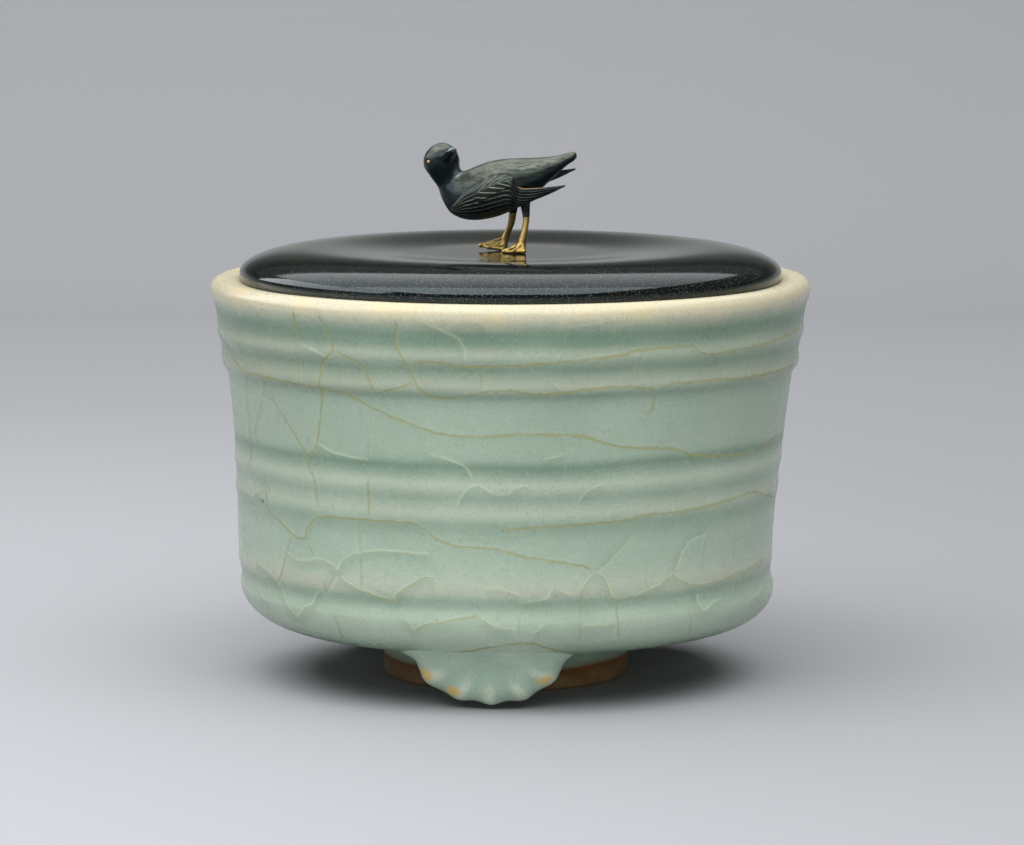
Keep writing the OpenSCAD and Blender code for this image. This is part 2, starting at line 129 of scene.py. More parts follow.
def newFinish(name):  # a material, and the place on the object that its textures start from
    material = bpy.data.materials.new(name)
    material.use_nodes = True
    tree = material.node_tree
    tree.nodes.clear()
    shader = tree.nodes.new("ShaderNodeBsdfPrincipled")
    shader.name = "shader"
    out = tree.nodes.new("ShaderNodeOutputMaterial")
    tree.links.new(shader.outputs[0], out.inputs[0])
    return material, Wire(tree).node("ShaderNodeTexCoord", None, None, 3)


def dress(material, values):
    shader = material.node_tree.nodes["shader"]
    for key, value in values.items():
        if isinstance(value, Wire):
            value.tree.links.new(value.socket, shader.inputs[key])
        else:
            shader.inputs[key].default_value = value
    return material


def grain(place, scale, detail):  # noise around 0, about -0.5 to 0.5
    values = {"Vector": place, "Scale": scale, "Detail": detail, "Roughness": 0.55}
    return place.node("ShaderNodeTexNoise", None, values) - 0.5


def flecks(place, scale):  # distance to the nearest fleck, and two numbers that are its own
    spot = place.node("ShaderNodeTexVoronoi", None, {"Vector": place, "Scale": scale, "Randomness": 1.0})
    return (spot, *spot.also(1).split()[:2])


def carried(place, *names):  # values that the mesh carries
    return [place.node("ShaderNodeAttribute", {"attribute_name": name}, None, 2) for name in names]


def raised(height, strength, distance):  # bump, with its distance in mm
    return height.node("ShaderNodeBump", None, {"Strength": strength, "Distance": distance * mm, "Height": height})


# shapes shared with the CAD, in millimetres

def ease(t):
    c = np.clip(t, 0, 1)
    return c * c * (3 - 2 * c)


def bump(x, w):
    return np.exp(-(x / w) ** 2)


def curve(points, t):  # smooth curve through a list of stations
    p = np.asarray(points, float)
    t = np.asarray(t, float)
    n = len(p) - 1
    i = np.minimum(np.floor(t).astype(int), n - 1)
    f = (t - i)[..., None]
    a, b = p[np.maximum(i - 1, 0)], p[i]
    c, d = p[i + 1], p[np.minimum(i + 2, n)]
    return b + 0.5 * f * ((c - a) + f * ((2 * a - 5 * b + 4 * c - d) + f * (3 * (b - c) + d - a)))


def arc(centre, radii, first, last, count):  # points on an ellipse, angles in degrees
    a = np.radians(np.linspace(first, last, count))
    return np.c_[centre[0] + radii[0] * np.cos(a), centre[1] + radii[1] * np.sin(a)]


def line(first, last, count):
    t = np.linspace(0, 1, count)[:, None]
    return np.asarray(first) * (1 - t) + np.asarray(last) * t


def outline(runs, lean=lambda r, z: 0.0):  # runs of radius and height, as one profile of radius, sway and height
    r, z = np.concatenate(runs).T
    return np.c_[r, lean(r, z) + 0 * r, z]


def carry(mesh, layers):  # values for the materials, one for each vertex
    for key, values in (layers or {}).items():
        data = mesh.attributes.new(key, "FLOAT", "POINT")
        data.data.foreach_set("value", np.asarray(values, np.float32).ravel())


def newPiece(name, points, faces, finish, layers=None):
    mesh = bpy.data.meshes.new(name)
    mesh.from_pydata(np.asarray(points).tolist(), [], [list(map(int, f)) for f in faces])
    mesh.update()
    carry(mesh, layers)
    return place(name, mesh, finish)


def place(name, mesh, finish):
    if volume(mesh) < 0:
        mesh.flip_normals()
    mesh.materials.clear()
    mesh.materials.append(finish)
    mesh.shade_smooth()
    piece = bpy.data.objects.new(name, mesh)
    scene.collection.objects.link(piece)
    return piece


def corners(mesh):
    co = np.empty(len(mesh.vertices) * 3)
    mesh.vertices.foreach_get("co", co)
    return co.reshape(-1, 3)


def volume(mesh):  # signed, so that a shell that is inside out shows
    mesh.calc_loop_triangles()
    tri = np.empty(len(mesh.loop_triangles) * 3, np.int32)
    mesh.loop_triangles.foreach_get("vertices", tri)
    a, b, c = np.moveaxis(corners(mesh)[tri.reshape(-1, 3)], 1, 0)
    return float((a * np.cross(b, c)).sum())


def gridFaces(rows, columns, close=False):
    i, j = np.meshgrid(np.arange(rows - 1), np.arange(columns if close else columns - 1), indexing="ij")
    k = (j + 1) % columns
    return np.c_[(i * columns + j).ravel(), (i * columns + k).ravel(),
                 ((i + 1) * columns + k).ravel(), ((i + 1) * columns + j).ravel()]


def settle(name, carrier, finish):  # the modifiers' result as a plain mesh
    bpy.context.view_layer.update()
    graph = bpy.context.evaluated_depsgraph_get()
    mesh = bpy.data.meshes.new_from_object(carrier.evaluated_get(graph))
    old = carrier.data
    bpy.data.objects.remove(carrier)
    bpy.data.meshes.remove(old)
    mesh.name = name
    return place(name, mesh, finish)


def newTree(name, inputs):
    tree = bpy.data.node_groups.new(name, "GeometryNodeTree")
    for key, kind in inputs.items():
        tree.interface.new_socket(key, in_out="INPUT", socket_type="NodeSocket" + kind)
    tree.interface.new_socket("Result", in_out="OUTPUT", socket_type="NodeSocketGeometry")
    given = {s.name: Wire(tree, s) for s in tree.nodes.new("NodeGroupInput").outputs if s.name}
    return tree, given


def endTree(tree, shape, finish):
    smooth = shape.node("GeometryNodeSetShadeSmooth", None, {"Geometry": shape})
    real = shape.node("GeometryNodeRealizeInstances", None, {"Geometry": smooth})
    done = shape.node("GeometryNodeSetMaterial", None, {"Geometry": real, "Material": finish})
    tree.links.new(done.socket, tree.nodes.new("NodeGroupOutput").inputs[0])


def grow(name, tree, mesh, values, finish):  # runs a tree on a mesh
    carrier = bpy.data.objects.new(name + "Carrier", mesh)
    modifier = carrier.modifiers.new(tree.name, "NODES")
    modifier.node_group = tree
    sockets = {s.name: s.identifier for s in tree.interface.items_tree if s.in_out == "INPUT"}
    for key, value in dict(values, Finish=finish).items():
        modifier[sockets[key]] = value
    scene.collection.objects.link(carrier)
    return settle(name, carrier, finish)


def hand(piece, body, slot, *nodes):
    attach(piece, body)
    if nodes:
        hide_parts(*nodes)
    return piece


# camera

view = {
    "stand": (0.32 * mm, -1.0, 181.6 * mm),
    "tilt": 7.24,  # degrees below level
    "lens": 163.09,
}
cameraData = bpy.data.cameras.new("camera")
cameraData.lens = view["lens"]
cameraData.sensor_width = 36
cameraData.clip_end = 30
camera = bpy.data.objects.new("camera", cameraData)
camera.location = view["stand"]
camera.rotation_euler = (math.radians(90 - view["tilt"]), 0, 0)
scene.collection.objects.link(camera)
scene.camera = camera
print("camera set")


# celadon glaze

glaze = {
    "thin": (206, 208, 189), "even": (169, 188, 168), "pooledAndShaded": (108, 134, 113), "blush": (196, 187, 166),
    "lip": (215, 204, 173), "stain": (236, 208, 140), "rust": (134, 104, 60),
    "mottleDark": (116, 141, 121), "mottleLight": (208, 218, 197),
    # height above the table in mm, and how deep the glaze lies there: 0 thin on a ridge, 1 pooled in a groove; the
    # full depth at 9 and 12.2 mm is painted shade on the underside and the bottom of the heel
    "depthAndShade": [
        (9.0, 1.0), (12.2, 1.0), (16.0, 0.55), (20.6, 0.48), (22.8, 0.65), (24.6, 0.7), (26.3, 0.54), (28.0, 0.36),
        (31.5, 0.52), (36.5, 0.57), (39.2, 0.72), (40.7, 0.72), (43.2, 0.56), (46.1, 0.72), (49.2, 0.52), (51.2, 0.78),
        (52.9, 0.98), (54.6, 0.65), (57.0, 0.63), (64.0, 0.63), (66.4, 0.72), (67.6, 0.82), (69.7, 0.74), (73.0, 0.93),
        (76.1, 0.68), (78.0, 0.92), (80.0, 1.0), (82.0, 0.85), (84.0, 0.5),
    ],
    # the same for the faint warm bloom on the ridges
    "bloom": [
        (16.0, 0.1), (24.6, 0.0), (26.3, 0.7), (29.0, 0.05), (41.0, 0.0), (43.2, 0.5), (46.0, 0.0), (49.2, 0.4),
        (51.2, 0.0), (55.0, 0.0), (56.0, 0.1), (67.6, 0.0), (69.7, 0.65), (73.0, 0.0), (76.1, 0.5), (78.5, 0.0),
    ],
    "top": 90.0,
    "waver": 0.9,  # mm that the bands wander up and down
    "lipFrom": 80.2, "lipTo": 85.6,
    # over each foot: degrees round from the front, how much of the heel's painted shade is taken off, and where that
    # fades
    "feetAt": (-5, 123, -133), "overFeet": 0.6, "feetFacing": (0.95, 0.985), "feetZ": (11.5, 16.5),
    "rough": 0.28,
}


def heights(pairs):  # stops of a ramp that runs up the bowl
    return [(at / glaze["top"], (value, value, value, 1)) for at, value in pairs]


def mottled(here, colour):  # the fine broken texture of the glaze
    fine = grain(here, 2000, 1) + grain(here, 4300, 1)
    colour = fine.between(0.0, 0.75).blend(colour, paint(*glaze["mottleDark"]))
    return fine, (fine * -1).between(0.0, 1.15).blend(colour, paint(*glaze["mottleLight"]))


def celadonFinish():
    material, here = newFinish("celadonGlaze")
    x, y, z = here.split()
    wander = grain(here, 30, 2) * (2.0 * glaze["waver"] * mm)
    level = (z + wander) / (glaze["top"] * mm)
    cloud = grain(here, 50, 4)
    # the ramp gives the glaze depth up the wall, and painted shade under the heel
    depthAndShade = level.ramp(heights(glaze["depthAndShade"])) + cloud * 0.3 - 0.02
    # the painted shade on the heel is lightened above each foot
    radius = (x * x + y * y) ** 0.5
    for at in glaze["feetAt"]:
        facing = (x * math.sin(math.radians(at)) - y * math.cos(math.radians(at))) / radius
        low = 1 - (z / mm).between(*glaze["feetZ"])
        depthAndShade = depthAndShade - facing.between(*glaze["feetFacing"]) * low * glaze["overFeet"]
    thin, even, pooledAndShaded = (paint(*glaze[key]) for key in ("thin", "even", "pooledAndShaded"))
    colour = (depthAndShade * 2 - 1).blend((depthAndShade * 2).blend(thin, even), pooledAndShaded)
    bloom = level.ramp(heights(glaze["bloom"])) * (0.6 + cloud * 0.8)
    colour = bloom.blend(colour, paint(*glaze["blush"]))
    lip = (z / mm + cloud * 2.2 + grain(here, 420, 3) * 1.8).between(glaze["lipFrom"], glaze["lipTo"])
    colour = lip.blend(colour, paint(*glaze["lip"]))
    fine, colour = mottled(here, colour)
    # warm stain on the lip and small iron spots, more of them there
    stain = grain(here, 90, 4).between(0.0, 0.3) * lip
    colour = (stain * 0.5).blend(colour, paint(*glaze["stain"]))
    spot, chance = flecks(here, 200)[:2]
    pin = (1 - spot.between(0.03, 0.1)) * chance.between(0.88 - 0.4 * lip, 0.97 - 0.4 * lip)
    colour = (pin * 0.7).blend(colour, paint(*glaze["rust"]))
    relief = grain(here, 420, 3) * 0.04 + grain(here, 110, 2) * 0.18 + fine * 0.015
    return dress(material, {
        "Base Color": colour,
        "Roughness": grain(here, 180, 3) * 0.16 + glaze["rough"],
        "Specular IOR Level": 0.5,
        "Normal": raised(relief, 0.35, 0.6),
    })


celadon = celadonFinish()


# turned pieces: a profile swept round the axis

nick, bevel = 0.2, 0.3  # mm, small breaks of the turned edges


def turningTree():
    tree, given = newTree("turnedPiece", {
        "Profile": "Geometry", "Segments": "Int", "Wobble": "Float", "Wobble Scale": "Float", "Finish": "Material"})
    profile = given["Profile"]
    rows = profile.node("GeometryNodeAttributeDomainSize", {"component": "MESH"}, {0: profile})
    columns = given["Segments"] + 1
    sheet = profile.node("GeometryNodeMeshGrid", None, {"Vertices X": rows, "Vertices Y": columns})
    index = profile.node("GeometryNodeInputIndex")
    row = (index / columns + 1e-4).sum("FLOOR")
    spot = profile.node("GeometryNodeInputPosition")
    kind = {"data_type": "FLOAT_VECTOR", "domain": "POINT"}
    taken = profile.node("GeometryNodeSampleIndex", kind, {"Geometry": profile, "Value": spot, "Index": row})
    radius, sway, height = taken.split()  # the profile keeps its sideways sway in y
    angle = (index - row * columns) * (2 * math.pi) / given["Segments"]
    across, along = angle.sum("COSINE"), angle.sum("SINE")
    around = profile.xyz(across * radius, along * radius, height)
    hum = grain(around, given["Wobble Scale"], 1.0)
    swollen = radius + hum * given["Wobble"] * (radius * 100).sum("MINIMUM", 1.0)
    turned = profile.xyz(across * swollen + sway, along * swollen, height)
    moved = profile.node("GeometryNodeSetPosition", None, {"Geometry": sheet, "Position": turned})
    closed = profile.node("GeometryNodeMergeByDistance", None, {"Geometry": moved, "Distance": 2e-6})
    endTree(tree, closed, given["Finish"])
    return tree


turning = turningTree()


def turned(name, profile, finish, segments, wobble=0.0, wobbleScale=20.0):
    points = np.asarray(profile, float) * mm  # radius, sway, height
    mesh = bpy.data.meshes.new(name + "Profile")
    mesh.from_pydata(points.tolist(), [(i, i + 1) for i in range(len(points) - 1)], [])
    sizes = {"Segments": segments, "Wobble": wobble * mm, "Wobble Scale": wobbleScale}
    return grow(name, turning, mesh, sizes, finish)


# bowl

bowl = {
    "mouthR": 65.0, "rimZ": 86.6, "wallR": 58.0, "underZ": 11.7, "wallT": 5.5, "floorZ": 17.7,
    "heelW": 11.0, "heelH": 8.5, "lipR": 2.4, "lipSwell": 0.5, "collarH": 0.55, "fillet": 8.0,
    "strings": [(75.2, 0.5), (69.1, 0.5), (47.8, 0.25), (41.7, 0.25)],
    "stringW": 1.7, "grooveZ": 22.9, "grooveH": 0.5, "collarZ": 66.55,
    "seatZ": 85.9, "ledgeR": 57.75, "openR": 53.6, "lipEdge": 2.6, "lipRootZ": 78.1,
    "rimMargin": 0.15, "noseR": 0.4,  # the lip stays this far inside the CAD, and the ledge's edge is rounded
    "sway": 1.1, "swayZ": 26.0, "swayBelow": 10.0, "swayAbove": 24.0,  # how far the wall leans, and where
    "segments": 360, "wobble": 0.25, "wobbleScale": 22.0,
}
bowl["heelZ"] = bowl["underZ"] + bowl["heelH"]
bowl["lipZ"] = bowl["rimZ"] - bowl["lipR"]


def plainR(z):
    b = bowl
    flare = b["mouthR"] - b["lipSwell"] - b["collarH"] - b["wallR"]
    return b["wallR"] + flare * np.maximum(0, (z - b["heelZ"]) / (b["lipZ"] - b["heelZ"])) ** 2


def ribbedR(z):
    b = bowl
    out = plainR(z) + b["collarH"] * ease((z - b["collarZ"]) / b["stringW"])
    for at, height in b["strings"]:
        out = out + height * bump(z - at, b["stringW"])
    out = out + b["lipSwell"] * bump(z - b["lipZ"], b["lipR"]) - b["grooveH"] * bump(z - b["grooveZ"], b["stringW"])
    return np.minimum(out, b["mouthR"] - b["rimMargin"])


def sway(z):  # the thrown wall leans a little to the left, most of all above the heel
    b = bowl
    return -b["sway"] * bump(z - b["swayZ"], np.where(z < b["swayZ"], b["swayBelow"], b["swayAbove"]))


def bowlProfile():
    b = bowl
    seatZ, openR, rimZ, underZ, floorZ = (b[key] for key in ("seatZ", "openR", "rimZ", "underZ", "floorZ"))
    innerR, noseR, fillet = b["mouthR"] - b["rimMargin"] - b["lipR"], b["noseR"], b["fillet"]
    heelIn, coveZ = b["wallR"] - b["heelW"], floorZ + fillet
    coveR = plainR(coveZ) - b["wallT"] - fillet
    wallZ = np.linspace(b["heelZ"], b["lipZ"], 142)[1:-1]
    insideZ = np.linspace(b["lipRootZ"] - 1, coveZ, 22)
    t = np.linspace(0, 1, 8)[1:]
    return outline([
        line((0, underZ), (heelIn - 1, underZ), 10),
        arc((heelIn, b["heelZ"]), (b["heelW"], b["heelH"]), -90, 0, 26),
        np.c_[ribbedR(wallZ), wallZ],
        arc((innerR, b["lipZ"]), (b["lipR"], b["lipR"]), 0, 90, 14),
        np.c_[innerR + (b["ledgeR"] - innerR) * t, rimZ - (rimZ - seatZ) * ease(t)],
        line((b["ledgeR"], seatZ), (openR + noseR, seatZ), 4)[1:],
        arc((openR + noseR, seatZ - noseR), (noseR, noseR), 90, 180, 4),
        line((openR, seatZ - 0.5), (openR, seatZ - b["lipEdge"]), 3),
        line((openR + nick, seatZ - b["lipEdge"] - nick), (plainR(b["lipRootZ"]) - b["wallT"], b["lipRootZ"]), 5),
        np.c_[plainR(insideZ) - b["wallT"], insideZ],
        arc((coveR, coveZ), (fillet, fillet), 0, -90, 12)[1:],
        line((coveR - 2, floorZ), (0, floorZ), 10),
    ], lambda r, z: sway(z) * (r > 0.01))


bowlPiece = turned("bowl.glazed", bowlProfile(), celadon, bowl["segments"], bowl["wobble"], bowl["wobbleScale"])
hand(bowlPiece, "vessel", "celadon", "bowl")
print("bowl turned:", len(bowlPiece.data.polygons), "faces")


# crackle: drawn on a flat sheet, then laid on the glaze

crackle = {
    "width": 6.0, "lift": 0.045, "unwrapR": 60.0, "rayFrom": 80.0, "step": 0.6, "seed": 7,
    "shake": 0.06,  # mm that a line trembles
    "backTurn": 178.0, "backStretch": 1.1, "backDrift": 1.6,  # the same net, turned and pulled, goes round the back
    "driftWave": 23.0, "driftStart": 1.3, "driftTop": 84.0, "driftFade": 8.0,
    "blunt": 0.3, "taper": 2.5, "stack": 0.004, "ribs": 9,  # ends of a line, steps between ribbons, points across
    "ochre": (170, 167, 112), "pale": (216, 228, 206), "shade": (126, 153, 134),
    # how dark a line is, how pale the glaze beside it is, then its points: degrees round from the front, height in mm
    "lines": [
        (0.95, 0.25, -81.9, 75.3, -76.8, 74.6, -71.4, 71.6, -63.6, 68.8, -59.1, 68.9, -41.9, 68, -35.8, 67.5,
         -33, 66.9, -25.5, 63.5, -16.8, 60.4, -13.8, 59.7, -6.9, 59.1, 2.8, 59.7, 12.7, 59.3, 15.3, 58.8, 22.1, 56.6,
         34.8, 55.2, 39.3, 53.6, 49.2, 52.4, 60.7, 52.4, 73.5, 54),
        (0.9, 0, -43.8, 84.3, -44.6, 71.2, -44.2, 68.5),
        (0.95, 0, -37.3, 84, -37.3, 82.7, -36.7, 81.3, -36.4, 79.2, -35.1, 76.2, -38.4, 72.3, -40.3, 62.6, -42.5, 55,
         -44.5, 53.3, -44.8, 52.1, -44.5, 50, -43.2, 48, -42.7, 41.7),
        (0.9, 0.1, -35.1, 76.2, -31.3, 74.8, -29, 73.4, -26.7, 68.4, -25.9, 67.9, -21.2, 69.2, -18.4, 70.4),
        (0.9, 0.2, -21, 83.7, -21.4, 79, -21.2, 77, -19.3, 74.1, -16.9, 74.7, -14, 74.7, -5.6, 73.9, 9.2, 74.8,
         20.6, 75.9, 24.1, 76.7, 35.2, 77.1, 36.1, 77.1, 38.5, 75.4, 43.7, 74.9, 75.2, 76.7),
        (0.85, 0.15, -19.3, 74.1, -18, 70.2, -17.2, 69, -15, 67.6, -13.5, 67.3, -9.6, 67.5, -3.8, 68.8, 0.9, 68.9,
         5.6, 68.1, 18, 69.3, 24.1, 69.1, 28.9, 68.2),
        (0.9, 0.2, 28.9, 68.2, 29.9, 68.8, 32.1, 69.3, 35.1, 69.4, 45.4, 69.3, 50, 68.8, 75.7, 69.1),
        (0.6, 0, 28.9, 68.2, 28.8, 65, 28.4, 63.7, 26.1, 62.4),
        (0.75, 0, -65.1, 82.3, -65.5, 79.3, -65, 76.6, -65.4, 73.3, -65.1, 70.6, -63.6, 68.8, -66.2, 65.7, -67, 62.4,
         -67.3, 55.9, -67.1, 52.7, -68.6, 46.1),
        (0.7, 0, -55.9, 68.6, -57.9, 66, -60, 62.1, -63.9, 56.3, -63.1, 53.8),
        (0.7, 0.1, -58.4, 64.9, -56, 64.1, -53.3, 62.4, -45.9, 54.3, -44.5, 53.3),
        (0.6, 0.1, -74, 56.6, -69.6, 55.6),
        (0.35, 0, -27.9, 64, -29.4, 53.4),
        (0.25, 0.8, -42.9, 56.1, -37.4, 54, -29.2, 53.2),
        (0.2, 0.8, -43.3, 76.6, -36.4, 74.4),
        (0.25, 0.5, -57.1, 84.2, -51.9, 81.1),
        (0.3, 0.55, -18, 83.6, -10.5, 80, -9.3, 78.6, -8.7, 77, -8.4, 74.7),
        (0.45, 0.3, -7.1, 83.9, -6.6, 82.9, -3, 81.4),
        (0.5, 0, 10.2, 83.2, 10.5, 75.1),
        (0.45, 0, -5.6, 73.9, -5.3, 68.5),
        (0.3, 0.3, 6.5, 71.6, 9.7, 68.4),
        (0.3, 0.75, -16.6, 56.2, -15.6, 55, -10.4, 53.4, -8.8, 52.2, -7.6, 50),
        (0.2, 0.5, 5.8, 54.2, 8.8, 54.7, 11.2, 55.7),
        (0.45, 0, 24.9, 76.6, 24.3, 69.3),
        (0.4, 0.1, 37.8, 81.9, 37.2, 78.5, 36.1, 77.1),
        (0.4, 0.2, 53.8, 78.6, 50.6, 76.6, 49.1, 75.2),
        (0.35, 0, 55.7, 81.1, 55.3, 77.6, 54.6, 75.3),
        (0.5, 0, 50.7, 74.9, 52.2, 72.2, 51.5, 69.1),
        (0.2, 0.3, 1.7, 84.9, 5.3, 84.7, 8.9, 83.8),
        (0.2, 0.4, 9, 81.5, 16.4, 82.8, 20.1, 83.9),
        (0.4, 0.5, -77.1, 41.6, -71.4, 42, -67.4, 41.4, -64.2, 43, -61.8, 43.6),
        (0.85, 0.35, -60.8, 46.9, -60.4, 43.9, -59.3, 41.5, -59.3, 39.8, -52.2, 36.6, -50.9, 35.7, -49.3, 35.3,
         -47.7, 35.1, -46.4, 35.5, -46.1, 37.1, -43.3, 39.8, -38, 40.6, -20.9, 40.7, -18, 39.8, -16.4, 39,
         -15.3, 37.8, -11.2, 36.3, -3.1, 35.7, 1.9, 34.3, 13.3, 32.2, 16, 31.4, 17.5, 30.5),
        (0.75, 0, -51.2, 35.7, -54, 28.7, -55.6, 25.9, -57.2, 24.4),
        (0.5, 0, -46.4, 35.5, -43.6, 31),
        (0.3, 0.3, -69.7, 37.5, -68.3, 38.6, -61.2, 39.1, -58.9, 39.8),
        (0.25, 0.5, -78.7, 31.4, -68.9, 29.8),
        (0.4, 0.8, -67.8, 27.4, -58.1, 25.4, -51.4, 18, -47.1, 20.4, -45.3, 21, -44.1, 22.9, -42.2, 24.8),
        (0.35, 0.85, -53.1, 31.6, -48.5, 30.1, -43, 31.1, -40.5, 30.9, -38.9, 30.3, -37.6, 29.3, -36.3, 31.2,
         -34.5, 32.6, -32.5, 33.3, -26.2, 34.3, -16, 34),
        (0.3, 0.6, -37.6, 29.3, -40.8, 24.5, -42.6, 26.3),
        (0.45, 0.95, -37.1, 29, -35.9, 27.4, -34.1, 26.5, -24.9, 24, -23.4, 25.7, -18.6, 28.8, -16.5, 29.4, -15, 29),
        (0.25, 0.3, -24.9, 24, -23.4, 22.2),
        (0.7, 0, -29.6, 49.6, -29.6, 41),
        (0.5, 0, -31.9, 39.5, -31.7, 26.1),
        (0.5, 0, -39.5, 44.3, -38.4, 42.6, -37.7, 40.7),
        (0.6, 0, -39.1, 21.3, -38.5, 18.4, -38.7, 16.1, -40, 13.7),
        (0.2, 0.6, -67.6, 21.8, -61, 19.3),
        (0.6, 0.7, -22.3, 21.5, -20.4, 17.8, -18.8, 18.8, -16.2, 19.7, -5.8, 21.9),
        (0.2, 0.6, -10.5, 43.8, -9.7, 46.4, -7, 49, -3.6, 47.3, -1.1, 47, 0.3, 47.5, 1.1, 48.6, 4.9, 49),
        (0.2, 0.6, 13.7, 44.7, 14.8, 46.6, 16, 47.8, 19.4, 48.9),
        (0.85, 0.2, -2.1, 39.5, 2.9, 40.1, 22.7, 41, 29, 41.8, 39.7, 41.9, 59.4, 43.3, 63.7, 42.9, 69.4, 41.5,
         78.5, 39.9),
        (0.45, -0.5, 17.5, 30.5, 19.1, 31.5, 25.6, 38),
        (0.35, 0.7, 1.7, 24.3, 6.7, 24.8, 8.1, 25.6, 8.9, 27.2, 11.8, 25.9, 13.3, 25.7, 14.4, 26.5, 17.5, 30.5),
        (0.5, 0.75, 17.5, 30.5, 19.8, 28.5, 20.4, 27, 22.4, 24.2, 30.8, 25.8, 33.2, 26.6, 34.8, 27.8, 36.1, 28.3,
         38, 27.2, 43.3, 25.5, 54.1, 25.9, 56.1, 26.6, 60.6, 26.6, 72.3, 27.7),
        (0.25, -0.6, 36.1, 28.3, 38.5, 33.9, 40.4, 35.5, 42.4, 36.1, 45.1, 36.3),
        (0.2, 0.6, -5.6, 26.6, -4.1, 27.2, -1.7, 27, 2.6, 25.7),
        (0.4, 0.8, -6.6, 21.5, -3.8, 19.5, 0.3, 18.8, 1.7, 19.1),
        (0.9, 0.2, -14, 13.7, -13.1, 12.9, 2.2, 15.8, 10, 13.8, 12.8, 13.5),
        (0.35, 0.8, 14, 21, 14.4, 19.4, 17, 19.1, 22.7, 19.4),
        (0.3, 0, -16, 37.4, -16, 24.3),
        (0.45, 0, 14.8, 27.3, 14.4, 20.2, 14.8, 15),
        (0.45, 0, 1.8, 22.5, 1.7, 18.8, 2.2, 15.9),
        (0.25, 0.5, 3.9, 16.3, 5.4, 18.4, 7.1, 19.8, 9.3, 20.6),
        (0.25, 0, 34.3, 47.1, 35.6, 44.8, 36.2, 42.3),
        (0.3, 0, 44.4, 39.7, 44.8, 36.1, 44.7, 32.9, 43.5, 25.8),
        (0.25, 0, 53, 49, 51.8, 42.8),
        (0.3, 0, 55.2, 36.3, 55.2, 32.7, 54.5, 25.9),
        (0.3, 0.7, 43, 25, 43, 22.4, 43.5, 20.9, 45.2, 19.9, 48, 21, 51, 21.7),
        (0.55, 0, 22.6, 24.3, 22.5, 20.2, 23.5, 15.4),
        (0.55, 0, 40.5, 20.6, 41.2, 17.3, 42.9, 14),
        (0.4, 0, 54.7, 18.9, 57.3, 15.1),
        (0.2, 0.5, 61.6, 19.6, 72.4, 21),
    ],
}


def crackleSheet():
    c = crackle
    rng = np.random.default_rng(c["seed"])
    points, edges, ink, halo = [], [], [], []
    for back in (False, True):
        for number, (dark, pale, *stations) in enumerate(c["lines"]):
            p = np.array(stations, float).reshape(-1, 2)
            if back:
                drift = c["backDrift"] * np.sin(p[:, 0] / c["driftWave"] + c["driftStart"])
                p[:, 1] += drift * ease((c["driftTop"] - p[:, 1]) / c["driftFade"])
                p[:, 0] = c["backTurn"] + c["backStretch"] * p[:, 0]
            p[:, 0] = np.radians(p[:, 0]) * c["unwrapR"]
            gaps = np.hypot(*np.diff(p, axis=0).T)
            marks = np.r_[0, np.cumsum(gaps)]
            count = max(4, int(marks[-1] / c["step"]))
            along = np.linspace(0, marks[-1], count)
            q = curve(p, np.interp(along, marks, np.arange(len(p))))
            first, second = rng.uniform(0, 6.28, 2)
            q[:, 1] += c["shake"] * (np.sin(along * 1.3 + first) + 0.7 * np.sin(along * 3.1 + second))
            ends = ease((np.minimum(along, marks[-1] - along) + c["blunt"]) / c["taper"])
            base = len(points)
            points += [(x * mm, y * mm, (number % 10) * c["stack"] * mm) for x, y in q]
            edges += [(base + i, base + i + 1) for i in range(count - 1)]
            ink += list(dark * ends)
            halo += list(pale * ends)
    mesh = bpy.data.meshes.new("crackleSheet")
    mesh.from_pydata(points, edges, [])
    carry(mesh, {"ink": ink, "halo": halo})
    return mesh


def crackleTree():
    tree, given = newTree("crackleOnGlaze", {
        "Sheet": "Geometry", "Bowl": "Object", "Ribbon Width": "Float", "Lift": "Float", "Unwrap Radius": "Float",
        "Ray From": "Float", "Finish": "Material"})
    sheet = given["Sheet"]
    paths = sheet.node("GeometryNodeMeshToCurve", None, {0: sheet})
    level = sheet.node("GeometryNodeSetCurveNormal", {"mode": "Z_UP"}, {0: paths})
    half = given["Ribbon Width"] * 0.5
    ends = {"Start": sheet.xyz(half * -1), "End": sheet.xyz(half)}
    rail = sheet.node("GeometryNodeCurvePrimitiveLine", None, ends)
    rail = sheet.node("GeometryNodeResampleCurve", None, {"Curve": rail, "Count": crackle["ribs"]})
    kind = {"data_type": "FLOAT", "domain": "POINT"}
    share = sheet.node("GeometryNodeSplineParameter")
    rail = sheet.node("GeometryNodeStoreNamedAttribute", kind, {"Geometry": rail, "Name": "across", "Value": share})
    ribbons = sheet.node("GeometryNodeCurveToMesh", None, {"Curve": level, "Profile Curve": rail})
    x, y, z = sheet.node("GeometryNodeInputPosition").split()
    angle = x / given["Unwrap Radius"]
    side, front = angle.sum("SINE"), angle.sum("COSINE")
    away = given["Ray From"]
    origin = sheet.xyz(side * away, front * away * -1, y)
    inward = sheet.xyz(side * -1, front)
    wall = sheet.node("GeometryNodeObjectInfo", None, {"Object": given["Bowl"]}, "Geometry")
    ray = {"Target Geometry": wall, "Source Position": origin, "Ray Direction": inward, "Ray Length": away}
    hit = sheet.node("GeometryNodeRaycast", None, ray, "Hit Position")
    landed = sheet.node("ShaderNodeVectorMath", {"operation": "MULTIPLY_ADD"}, {
        0: hit.also("Hit Normal"), 1: given["Lift"] + z, 2: hit})
    missed = 1 - hit.also("Is Hit")
    kept = sheet.node("GeometryNodeDeleteGeometry", None, {"Geometry": ribbons, "Selection": missed})
    laid = sheet.node("GeometryNodeSetPosition", None, {"Geometry": kept, "Position": landed})
    endTree(tree, laid, given["Finish"])
    return tree


